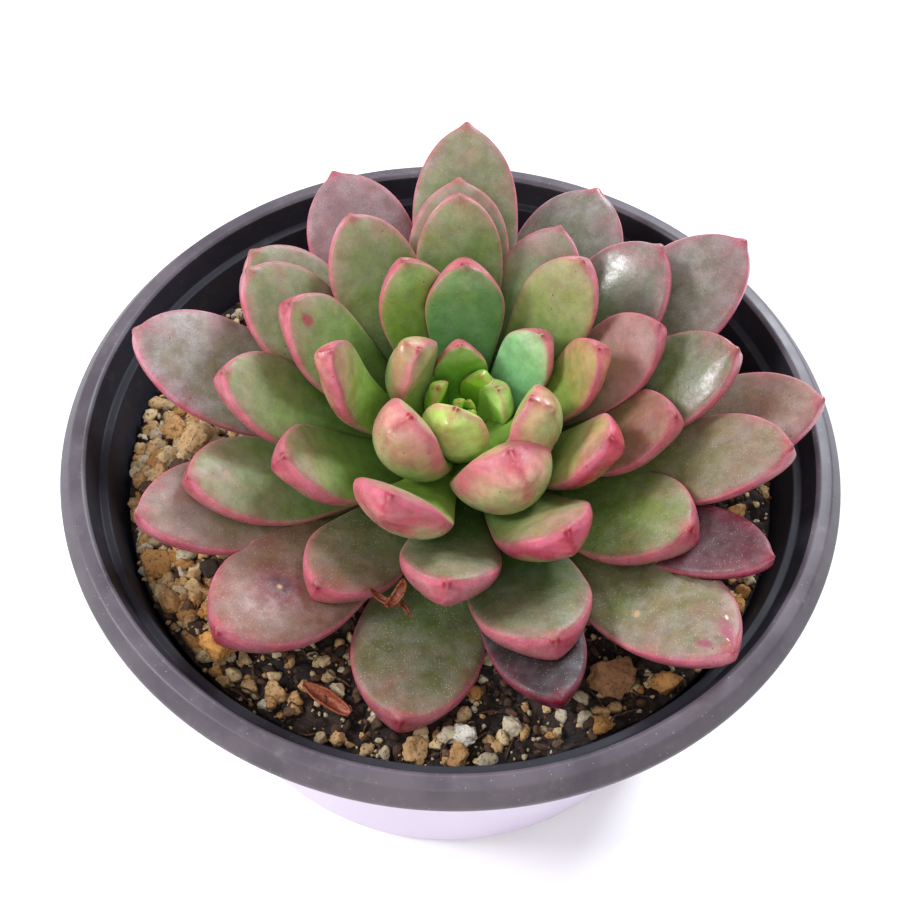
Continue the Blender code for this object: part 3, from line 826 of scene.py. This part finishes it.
def add_pot():
    """The pot's shell turned from its outline, with the drain holes cut through its floor."""
    slope = 0.6 * FLANGE_WIDTH
    top = POT_HEIGHT
    outline = [
        (MOUTH_RADIUS + 0.5 * MM, top),
        (MOUTH_RADIUS + slope, top - 0.25 * MM),
        (RIM_RADIUS - 0.3 * MM, top - FLANGE_DROP + 0.4 * MM),
        (RIM_RADIUS, top - FLANGE_DROP),
        (RIM_RADIUS, top - FLANGE_DROP - 0.7 * MM),
        (RIM_RADIUS - 0.6 * MM, top - FLANGE_DROP - 0.7 * MM),
        (MOUTH_RADIUS + slope, top - 1.3 * MM),
        (MOUTH_RADIUS + WALL, top - 1.3 * MM),
        (LEDGE_RADIUS + WALL, top - LEDGE_DEPTH - WALL),
        (INNER_RADIUS + WALL, top - LEDGE_DEPTH - WALL),
        (BASE_RADIUS, 1.2 * MM),
        (BASE_RADIUS - 0.6 * MM, 0),
        (BASE_RADIUS - 2.6 * MM, 0),
        (BASE_RADIUS - 3.4 * MM, FLOOR_RISE),
        (0, FLOOR_RISE),
        (0, FLOOR_RISE + WALL),
        (BASE_RADIUS - 2.6 * MM, FLOOR_RISE + WALL),
        (BASE_RADIUS - 1.2 * MM, 1.2 * MM + WALL),
        (INNER_RADIUS, top - LEDGE_DEPTH),
        (LEDGE_RADIUS, top - LEDGE_DEPTH),
        (MOUTH_RADIUS, top - 0.4 * MM),
    ]
    mesh = turned_mesh("pot_shell", rounded(outline), 256 if FINE else 96)
    obj = add_piece("pot_shell", mesh, None, ["pot"])
    cutters = []
    for hole in range(DRAIN_HOLES):
        angle = math.tau * (hole + 0.5) / DRAIN_HOLES
        bm = bmesh.new()
        size = {"radius1": DRAIN_RADIUS, "radius2": DRAIN_RADIUS, "depth": 6 * MM}
        bmesh.ops.create_cone(bm, cap_ends=True, segments=48, **size)
        cutter_mesh = bpy.data.meshes.new("drain")
        bm.to_mesh(cutter_mesh)
        bm.free()
        cutter = link(f"drain_{hole}", cutter_mesh)
        cutter.location = (*polar(DRAIN_PLACE, angle), 0)
        cut = obj.modifiers.new(cutter.name, "BOOLEAN")
        cut.object = cutter
        cut.solver = "EXACT"
        cutters.append(cutter)
    bpy.context.view_layer.update()
    graph = bpy.context.evaluated_depsgraph_get()
    mesh = bpy.data.meshes.new_from_object(obj.evaluated_get(graph))
    obj.modifiers.clear()
    obj.data = mesh
    for cutter in cutters:
        bpy.data.objects.remove(cutter, do_unlink=True)
    add_pot_materials(mesh)
    mesh.set_sharp_from_angle(angle=math.radians(40))
    return obj


# --------------------------------------------------------------------- soil

SOIL_LEVEL = 37 * MM
SOIL_FLOOR = 2.3 * MM
SOIL_FOOT_RADIUS = BASE_RADIUS - 1.8 * MM
UNDER_LEAF = 0.35 * MM  # the soil stays this far below the leaves


def soil_relief(x, y):
    """The uneven surface of peat: slow swells, clods and crumbs."""
    p = Vector((x, y, 0))
    swell = noise.noise(p * 260) + 0.6 * noise.noise(Vector((x, y, 0.01)) * 600)
    clods = abs(noise.noise(p * 420 + Vector((5, 0, 0))))
    crumbs = noise.noise(p * 1100 + Vector((0, 9, 0)))
    fine = noise.noise(p * 2600 + Vector((0, 0, 4)))
    return 0.75 * MM * swell + 0.9 * MM * (clods - 0.2) + 0.5 * MM * crumbs + 0.28 * MM * fine


def soil_radius(z):
    """How far the soil reaches at a height inside the tapering wall."""
    share = (z - SOIL_FLOOR) / (POT_HEIGHT - LEDGE_DEPTH - SOIL_FLOOR)
    return lerp(SOIL_FOOT_RADIUS, INNER_RADIUS - 0.6 * MM, share)


def soil_under(ground, x, y):
    """The soil's height at a place, or None beside it."""
    hit, _, _, _ = ground.ray_cast(Vector((x, y, 60 * MM)), Vector((0, 0, -1)))
    return hit and hit.z


def leaf_above(cover, x, y):
    """The height of the lowest leaf over a place, or infinity under the open sky."""
    hit, _, _, _ = cover.ray_cast(Vector((x, y, 25 * MM)), Vector((0, 0, 1)), 25 * MM)
    return hit.z if hit else math.inf


def soil_material():
    paint = Paint("peat")
    clods = paint.noise(2.4 * MM, 5, None, 0.7)
    crumbs = paint.noise(0.5 * MM, 4, None, 0.7)
    colour = paint.mix(paint.ramp(clods, 0.35, 0.68), srgb(18, 13, 14), srgb(54, 38, 32))
    colour = paint.mix(paint.times(paint.ramp(crumbs, 0.55, 0.75), 0.6), colour, srgb(112, 80, 56))
    grit = paint.specks(0.8 * MM, 0.16 * MM, 0.25)
    colour = paint.mix(paint.times(grit, 0.7), colour, srgb(176, 140, 96))
    paint.set(base_color=colour, roughness=paint.ramp(crumbs, 0.3, 0.7, 0.7, 0.98))
    paint.set(normal=paint.bump(crumbs, 0.7, 0.25 * MM))
    return paint.material


def add_soil(cover):
    """One closed block of peat filling the pot, uneven on top; returns its surface."""
    rings, spokes = (130, 560) if FINE else (60, 240)
    top_radius = soil_radius(SOIL_LEVEL)
    points = []
    for ring in range(1, rings + 1):
        radius = top_radius * (ring / rings) ** 0.62
        for spoke in range(spokes):
            x, y = polar(radius, math.tau * spoke / spokes)
            height = SOIL_LEVEL + soil_relief(x, y) * (1 if ring < rings else 0)
            height = min(height, leaf_above(cover, x, y) - UNDER_LEAF)
            if ring == rings:
                height = min(height, SOIL_LEVEL - 0.3 * MM)
            points.append((x, y, height))
    faces = []
    for ring in range(rings - 1):
        a = ring * spokes
        for spoke in range(spokes):
            nxt = (spoke + 1) % spokes
            faces.append((a + spoke, a + spokes + spoke, a + spokes + nxt, a + nxt))
    centre = len(points)
    points.append((0, 0, np.mean([p[2] for p in points[:spokes]])))
    foot = len(points)
    points += [(*polar(SOIL_FOOT_RADIUS, math.tau * spoke / spokes), SOIL_FLOOR) for spoke in range(spokes)]
    bottom = len(points)
    points.append((0, 0, SOIL_FLOOR))
    edge = (rings - 1) * spokes
    for spoke in range(spokes):
        nxt = (spoke + 1) % spokes
        faces.append((centre, spoke, nxt))
        faces.append((edge + spoke, foot + spoke, foot + nxt, edge + nxt))
        faces.append((bottom, foot + nxt, foot + spoke))
    mesh = mesh_from("peat", points, faces)
    add_piece("soil_surface", mesh, soil_material(), ["soil"])
    return BVHTree.FromPolygons([Vector(p) for p in points], faces)


# --------------------------------------------------------------------- grit


def ball(level):
    """A ball of triangles, finer at each level: 80, 320 or 1280 at levels 2, 3 and 4."""
    bm = bmesh.new()
    bmesh.ops.create_icosphere(bm, subdivisions=level, radius=1)
    points = np.array([v.co for v in bm.verts])
    faces = [tuple(v.index for v in f.verts) for f in bm.faces]
    bm.free()
    return points, faces


BALLS = {level: ball(level) for level in (2, 3, 4)}


def rough_stone(half_sizes, level, rng, knobs=0.10):
    """A broken grain: a ball cut by planes and pitted all over."""
    points, faces = BALLS[level]
    points = points.copy()
    for _ in range(12):
        normal = np.array([rng.gauss(0, 1) for _ in range(3)])
        normal /= np.linalg.norm(normal)
        limit = rng.uniform(0.5, 0.85)
        over = points @ normal - limit
        points -= np.outer(np.clip(over, 0, None) * 0.92, normal)
    shift = Vector((rng.uniform(0, 50), rng.uniform(0, 50), 0))
    swell = np.array(
        [
            1
            + knobs * 1.6 * noise.noise(Vector(p) * 1.8 + shift)
            + knobs * 1.5 * noise.noise(Vector(p) * 4 + shift)
            + knobs * 0.7 * noise.noise(Vector(p) * 9 + shift)
            for p in points
        ]
    )
    points = points * swell[:, None] * np.array(half_sizes)
    spin = Euler((rng.uniform(-0.35, 0.35), rng.uniform(-0.35, 0.35), rng.uniform(0, math.tau)))
    return points @ np.array(spin.to_matrix()).T, faces


class Heap:
    """Many small pieces gathered in one mesh, each with a tone of its own."""

    def __init__(self):
        self.points, self.faces, self.tones, self.count = [], [], [], 0

    def add(self, points, faces, tone):
        self.points.append(points)
        self.faces += [tuple(i + self.count for i in f) for f in faces]
        self.tones += [tone] * len(points)
        self.count += len(points)

    def mesh(self, name):
        return mesh_from(name, np.concatenate(self.points), self.faces, {"tone": self.tones})


def grit_material(name, first, second, dark, shine=0.75):
    """Porous stone, each grain a little different, with soil in its pits."""
    paint = Paint(name)
    tone = paint.attribute("tone")
    pits = paint.noise(0.35 * MM, 5, None, 0.7)
    patches = paint.noise(1.3 * MM, 4, None, 0.6)
    colour = paint.mix(tone, first, second)
    colour = paint.mix(paint.times(paint.ramp(patches, 0.45, 0.75), 0.55), colour, mixed(first, dark, 0.55))
    colour = paint.mix(paint.times(paint.ramp(pits, 0.48, 0.34), 0.85), colour, dark)
    pale = paint.times(paint.ramp(pits, 0.6, 0.75), 0.3)
    colour = paint.mix(pale, colour, srgb(240, 226, 196))
    paint.set(base_color=colour, roughness=paint.ramp(pits, 0.3, 0.7, shine, 0.98))
    paint.set(normal=paint.bump(pits, 0.8, 0.12 * MM))
    return paint.material


def crowding(x, y):
    """How thickly grit lies at a place: heaped at the left, sparser in front, a line along the wall."""
    radius, angle = math.hypot(x, y), math.degrees(math.atan2(y, x)) % 360
    left = math.exp(-(((angle - 185) / 38) ** 2))
    front = 0.13 * math.exp(-(((angle - 250) / 40) ** 2)) + 0.10 * math.exp(-(((angle - 300) / 30) ** 2))
    right = 0.45 * math.exp(-((((angle + 20) % 360 - 8) / 30) ** 2))
    wall = 0.8 * math.exp(-(((radius - 37.2 * MM) / (1.6 * MM)) ** 2))
    back = 0.08
    return min(1.0, left + front + right + back + wall * (0.12 + 0.4 * (left + front)))


# The larger grains that lie in sight: (x, y, half sizes) in millimetres
OCHRE_GRAINS = [
    (-33.4, 4.6, (1.9, 1.5, 1.3)),
    (-30.8, 2.0, (2.6, 2.1, 1.7)),
    (-34.5, -3.0, (1.4, 1.1, 1.0)),
    (-33.5, -9.6, (2.0, 1.6, 1.4)),
    (-33.0, -14.6, (2.3, 1.7, 1.5)),
    (-31.0, -12.2, (1.2, 1.7, 1.1)),
    (-31.2, -19.4, (1.5, 1.9, 1.3)),
    (-28.2, -22.0, (1.2, 1.0, 0.9)),
    (-22.6, -30.6, (1.5, 1.1, 1.0)),
    (-18.2, -30.0, (1.7, 1.4, 1.2)),
    (-7.2, -32.4, (1.9, 1.3, 1.1)),
    (-8.2, -36.2, (1.5, 1.2, 1.1)),
    (-3.0, -36.4, (1.6, 1.9, 1.2)),
    (1.6, -36.8, (1.4, 1.5, 1.2)),
    (-11.0, -35.2, (1.2, 1.0, 0.9)),
    (24.2, -27.4, (1.5, 1.8, 1.2)),
    (17.0, -32.6, (1.2, 1.7, 1.0)),
    (12.3, -35.6, (1.3, 1.2, 1.0)),
    (31.5, -12.6, (1.7, 1.4, 1.2)),
    (33.6, -4.8, (1.6, 1.3, 1.1)),
    (34.4, 1.4, (1.4, 1.6, 1.1)),
    (32.4, -17.2, (1.6, 1.3, 1.0)),
]
PALE_GRAINS = [
    (-32.4, -5.4, (1.8, 1.4, 1.2)),
    (-35.0, 0.6, (1.2, 1.0, 0.9)),
    (-28.8, -6.0, (1.5, 1.2, 1.0)),
    (-22.0, -33.0, (1.1, 0.9, 0.8)),
    (11.8, -27.4, (1.7, 1.4, 1.2)),
    (7.4, -33.0, (1.3, 1.1, 1.0)),
    (0.8, -34.6, (1.1, 1.5, 1.0)),
    (-14.2, -36.0, (1.0, 0.8, 0.7)),
]


OCHRE = (srgb(180, 126, 66), srgb(218, 194, 150), srgb(54, 36, 24))
PALE = (srgb(178, 156, 116), srgb(206, 196, 174), srgb(84, 66, 48))
DARK = (srgb(52, 38, 32), srgb(112, 82, 58), srgb(22, 16, 16))
PEAT = (srgb(34, 23, 19), srgb(98, 68, 48), srgb(14, 10, 10))


def add_grit(ground, cover):
    """The loose grains: the larger ones each in its place, the finer ones strewn by crowding."""
    rng = random.Random(11)
    crumbs, large, banked, ochre, fine, white, dark = (Heap() for _ in range(7))

    def lay(heap, x, y, half_sizes, level, tone, sunk):
        height = soil_under(ground, x, y)
        if not height or math.hypot(x, y) + 0.8 * max(half_sizes) > soil_radius(SOIL_LEVEL) + 0.2 * MM:
            return
        height += half_sizes[2] * (1 - 2 * sunk)
        if leaf_above(cover, x, y) < height + half_sizes[2] + 0.2 * MM:
            return
        points, faces = rough_stone(half_sizes, level, rng)
        heap.add(points + np.array([x, y, height]), faces, tone)

    for heap, grains, tones in ((large, OCHRE_GRAINS, (0.0, 0.5)), (white, PALE_GRAINS, (0.2, 0.9))):
        for x, y, sizes in grains:
            lay(heap, x * MM, y * MM, tuple(s * MM for s in sizes), 4, rng.uniform(*tones), 0.25)
    for _ in range(9000 if FINE else 3600):
        x, y = scattered(rng, 39 * MM, 0.12)
        pick, size_draw, kind, tone = rng.random(), rng.random(), rng.random(), rng.random()
        if pick > crowding(x, y):
            continue
        left = x < -22 * MM
        size = (lerp(0.35, 1.6, size_draw**1.9) if left else lerp(0.22, 1.25, size_draw**2.6)) * MM
        sizes = (size, size * rng.uniform(0.65, 0.95), size * rng.uniform(0.55, 0.85))
        level = 3 if size > 0.5 * MM else 2
        if kind < (0.62 if left else 0.5):
            heap = fine if level == 2 else (banked if left else ochre)
        else:
            heap = white if kind < 0.82 else dark
        lay(heap, x, y, sizes, level, tone, 0.3)
    for _ in range(2600 if FINE else 500):
        x, y = scattered(rng, 38.6 * MM, 0.2)
        size = lerp(0.2, 1.0, rng.random() ** 2.4) * MM
        sizes = (size, size * rng.uniform(0.5, 0.9), size * rng.uniform(0.4, 0.8))
        lay(crumbs, x, y, sizes, 2, rng.random(), 0.25)
    for heap, name, colours in (
        (crumbs, "peat_crumbs", PEAT),
        (large, "grit_large", OCHRE),
        (banked, "grit_banked", OCHRE),
        (ochre, "grit_ochre", OCHRE),
        (fine, "grit_fine", OCHRE),
        (white, "grit_pale", PALE),
        (dark, "grit_dark", DARK),
    ):
        add_piece(name, heap.mesh(name), grit_material(name, *colours))


def add_named_stones():
    """The detailed pieces for the CAD model's three loose stones, in the same places."""
    for node, finish, seed, tone, colours in (
        ("pumice_ochre", "pumice", 3, 0.2, (srgb(206, 142, 66), srgb(220, 180, 120), srgb(110, 70, 36))),
        ("pumice_brown", "pumice", 4, 0.3, (srgb(140, 96, 62), srgb(176, 132, 92), srgb(60, 40, 30))),
        ("perlite_white", "perlite", 6, 0.7, (srgb(196, 190, 176), srgb(224, 220, 210), srgb(112, 100, 86))),
    ):
        low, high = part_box(node)
        stone, faces = rough_stone((1, 1, 1), 4, random.Random(seed), 0.12)
        stone = stone / np.abs(stone).max(0) * np.array(tuple((high - low) / 2 * 1.02))
        stone = stone + np.array((low + high) / 2)
        mesh = mesh_from(node + "_stone", stone, faces, {"tone": [tone] * len(stone)})
        add_piece(node + "_stone", mesh, grit_material(node, *colours), [node])


def add_fibres(ground, cover):
    """Shreds of peat and root: thin bent splinters lying on the soil."""
    rng = random.Random(5)
    heap = Heap()
    last = 6
    for _ in range(420 if FINE else 160):
        x, y = scattered(rng, 38 * MM, 0.2)
        length, thick = rng.uniform(1.0, 4.2) * MM, rng.uniform(0.06, 0.17) * MM
        heading, bend = rng.uniform(0, math.tau), rng.uniform(-0.9, 0.9)
        tone, tilt = rng.random(), rng.uniform(-0.1, 0.35)
        spine = []
        for step in range(last + 1):
            s = step / last - 0.5
            turn = heading + bend * s
            px, py = x + math.cos(turn) * length * s, y + math.sin(turn) * length * s
            height = soil_under(ground, px, py)
            if not height or math.hypot(px, py) > 38.2 * MM:
                break
            height += 0.1 * MM + thick + max(0.0, tilt * (s + 0.5)) * length
            if leaf_above(cover, px, py) < height + 0.3 * MM:
                break
            spine.append((px, py, height))
        if len(spine) > last:
            radii = [thick * (1 - 0.8 * abs(2 * i / last - 1) ** 3) for i in range(last + 1)]
            heap.add(*tube(spine, radii, 5), tone)
    paint = Paint("peat_fibre")
    streak = paint.noise(0.3 * MM, 3)
    colour = paint.mix(paint.attribute("tone"), srgb(58, 36, 28), srgb(128, 92, 62))
    colour = paint.mix(paint.ramp(streak, 0.35, 0.7), mixed(srgb(40, 26, 22), srgb(90, 60, 44), 0.3), colour)
    paint.set(base_color=colour, roughness=0.85)
    paint.set(normal=paint.bump(streak, 0.5, 0.05 * MM))
    add_piece("peat_fibres", heap.mesh("peat_fibres"), paint.material)


def tube(spine, radii, sides):
    """A closed thin tube along a line of points."""
    spine = [np.array(p, float) for p in spine]
    points, faces = [], []
    count = len(spine)
    for i, spot in enumerate(spine):
        heading = spine[min(i + 1, count - 1)] - spine[max(i - 1, 0)]
        heading /= np.linalg.norm(heading)
        across = np.cross(heading, (0, 0, 1.0))
        if np.linalg.norm(across) < 0.05:
            across = np.cross(heading, (1.0, 0, 0))
        across /= np.linalg.norm(across)
        up = np.cross(across, heading)
        for side in range(sides):
            angle = math.tau * side / sides
            points.append(spot + radii[i] * (across * math.cos(angle) + up * math.sin(angle)))
    for i in range(count - 1):
        for side in range(sides):
            nxt = (side + 1) % sides
            faces.append((i * sides + side, i * sides + nxt, (i + 1) * sides + nxt, (i + 1) * sides + side))
    faces.append(tuple(reversed(range(sides))))
    faces.append(tuple((count - 1) * sides + side for side in range(sides)))
    return np.array(points), [tuple(reversed(f)) for f in faces]


# -------------------------------------------------------------------- dry scraps


def husk(centre, heading, tip_up, length, width, roll, curl, ragged):
    """A withered leaf: a thin closed shell, rolled up across and curling along."""
    steps, across_steps, thick = 34, 14, 0.11 * MM
    front, back = [], []
    for i in range(steps):
        s = i / (steps - 1)
        half = 0.5 * width * (math.sin(math.pi * min(1, 0.08 + 0.92 * s)) ** 0.7 * 0.9 + 0.1)
        bend = curl * (s - 0.5)
        along = length * (math.sin(bend) / curl if curl else s - 0.5)
        rise = length * ((1 - math.cos(bend)) / curl if curl else 0)
        for j in range(across_steps):
            v = 2 * j / (across_steps - 1) - 1
            wave = ragged * noise.noise(Vector((s * 5, v * 2.2, length * 900)))
            angle = roll * v * (1 + 0.5 * s)
            side = half * math.sin(angle) / max(roll, 0.1)
            up = half * (1 - math.cos(angle)) / max(roll, 0.1) + wave
            spot = Vector((along, side, rise + up))
            normal = Vector((-math.sin(bend), -math.sin(angle), math.cos(angle) * math.cos(bend)))
            normal.normalize()
            front.append(spot + normal * thick)
            back.append(spot - normal * thick)
    turn = Matrix.Translation(centre) @ Matrix.Rotation(heading, 4, "Z") @ Matrix.Rotation(-tip_up, 4, "Y")
    points = [turn @ p for p in front + back]
    faces, shift = [], len(front)
    for i in range(steps - 1):
        for j in range(across_steps - 1):
            a = i * across_steps + j
            b, c, d = a + 1, a + across_steps + 1, a + across_steps
            faces.append((a, d, c, b))
            faces.append((shift + a, shift + b, shift + c, shift + d))
    loop = list(range(across_steps))
    loop += [i * across_steps + across_steps - 1 for i in range(1, steps)]
    loop += [(steps - 1) * across_steps + j for j in range(across_steps - 2, -1, -1)]
    loop += [i * across_steps for i in range(steps - 2, 0, -1)]
    for a, b in zip(loop, loop[1:] + loop[:1]):
        faces.append((a, b, shift + b, shift + a))
    return np.array(points), faces


def dry_material(name, first, second):
    paint = Paint(name)
    fibre = paint.noise(0.35 * MM, 4, None, 0.7)
    colour = paint.mix(paint.ramp(fibre, 0.35, 0.65), first, second)
    paint.set(base_color=colour, roughness=paint.ramp(fibre, 0.3, 0.7, 0.35, 0.6))
    paint.set(normal=paint.bump(fibre, 0.6, 0.08 * MM))
    return paint.material


def add_husks():
    low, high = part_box("dry_leaf_scrap")
    centre = (low + high) / 2
    points, faces = husk(centre, math.radians(150), 0.1, 6.2 * MM, 2.2 * MM, 1.3, 0.7, 0.25 * MM)
    mesh = mesh_from("dry_leaf_husk", points, faces)
    material = dry_material("dry_leaf_brown", srgb(120, 54, 30), srgb(166, 92, 62))
    add_piece("dry_leaf_husk", mesh, material, ["dry_leaf_scrap"])
    glossy = dry_material("dry_curl_brown", srgb(86, 30, 18), srgb(150, 84, 50))
    heap = Heap()
    for place, heading, tip_up, length, width, curl in (
        ((-5.0, -22.0, 45.6), 0.9, 0.6, 4.6, 1.3, 2.6),
        ((-6.8, -22.4, 44.8), 2.8, 0.2, 4.4, 0.8, 2.2),
        ((-4.6, -22.9, 44.6), -0.9, 0.2, 3.0, 0.6, -1.9),
    ):
        spot = Vector(place) * MM
        points, faces = husk(spot, heading, tip_up, length * MM, width * MM, 1.2, curl, 0.1 * MM)
        heap.add(points, faces, 0.5)
    add_piece("dry_curl", heap.mesh("dry_curl"), glossy)


# -------------------------------------------------------------------- scene


def add_floor():
    mesh = bpy.data.meshes.new("floor")
    corners = [(-2, -2, 0), (2, -2, 0), (2, 2, 0), (-2, 2, 0)]
    mesh.from_pydata(corners, [], [(0, 1, 2, 3)])
    floor = link("floor", mesh)
    floor.location.z = -0.05 * MM
    paint = Paint("floor_white")
    paint.set(base_color=(0.94, 0.94, 0.94), roughness=0.9)
    mesh.materials.append(paint.material)


def add_lights():
    """A white surround, a cool window behind at the right, one at the left, and a soft front fill."""
    world = bpy.data.worlds.new("studio")
    bpy.context.scene.world = world
    world.use_nodes = True
    world.node_tree.nodes["Background"].inputs["Color"].default_value = (1.0, 1.0, 1.0, 1)
    world.node_tree.nodes["Background"].inputs["Strength"].default_value = 0.5
    plant = Vector((0, 0, 0.04))
    for name, place, size, power, colour in (
        ("window_back_right", (0.35, 0.55, 0.55), 0.26, 6.6, (0.86, 0.93, 1.0)),
        ("window_left", (-0.62, -0.06, 0.55), 0.24, 4.6, (0.97, 0.97, 1.0)),
        ("soft_front", (-0.1, -0.6, 0.6), 0.5, 2.2, (1.0, 0.97, 0.93)),
    ):
        light = bpy.data.lights.new(name, "AREA")
        light.size = size
        light.energy = power
        light.color = colour
        lamp = link(name, light)
        lamp.location = place
        lamp.rotation_euler = (plant - Vector(place)).to_track_quat("-Z", "Y").to_euler()


VIEW_DOWN = math.radians(54.3)
VIEW_ROLL = math.radians(2)
VIEW_DISTANCE = 180 * MM
LENS_MM, SENSOR_MM = 61.76, 36


def add_camera():
    """Looks down on the front of the pot, from close by."""
    data = bpy.data.cameras.new("camera")
    data.sensor_width = SENSOR_MM
    data.lens = LENS_MM
    data.shift_x, data.shift_y = -0.0022, -0.0072
    data.clip_start, data.clip_end = 0.01, 10
    camera = link("camera", data)
    target = Vector((0, 0, POT_HEIGHT - 2.2 * MM))
    forward = Vector((0, math.cos(VIEW_DOWN), -math.sin(VIEW_DOWN)))
    place = Matrix.Translation(target - forward * VIEW_DISTANCE)
    tilt = Matrix.Rotation(math.pi / 2 - VIEW_DOWN, 4, "X")
    camera.matrix_world = place @ tilt @ Matrix.Rotation(VIEW_ROLL, 4, "Z")
    bpy.context.scene.camera = camera


def merged_surface(objects):
    """All the objects' faces in one tree, to be met by rays."""
    points, faces = [], []
    for obj in objects:
        start = len(points)
        points += [v.co.copy() for v in obj.data.vertices]
        faces += [[start + i for i in f.vertices] for f in obj.data.polygons]
    return BVHTree.FromPolygons(points, faces)


def finish_stem():
    """The CAD stem keeps its shape and gets a green to woody skin."""
    paint = Paint("stem_skin")
    grain = paint.noise(0.7 * MM, 4)
    colour = paint.mix(paint.ramp(grain, 0.3, 0.7), srgb(96, 104, 56), srgb(120, 96, 66))
    paint.set(base_color=colour, roughness=0.7)
    paint.set(normal=paint.bump(grain, 0.5, 0.1 * MM))
    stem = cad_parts["stem"]
    stem.data.materials.clear()
    stem.data.materials.append(paint.material)


def main():
    cover = merged_surface(add_leaves())
    add_pot()
    ground = add_soil(cover)
    add_grit(ground, cover)
    add_named_stones()
    add_fibres(ground, cover)
    finish_stem()
    add_husks()
    add_camera()
    add_floor()
    add_lights()
    bpy.context.scene.view_settings.view_transform = "Standard"


main()
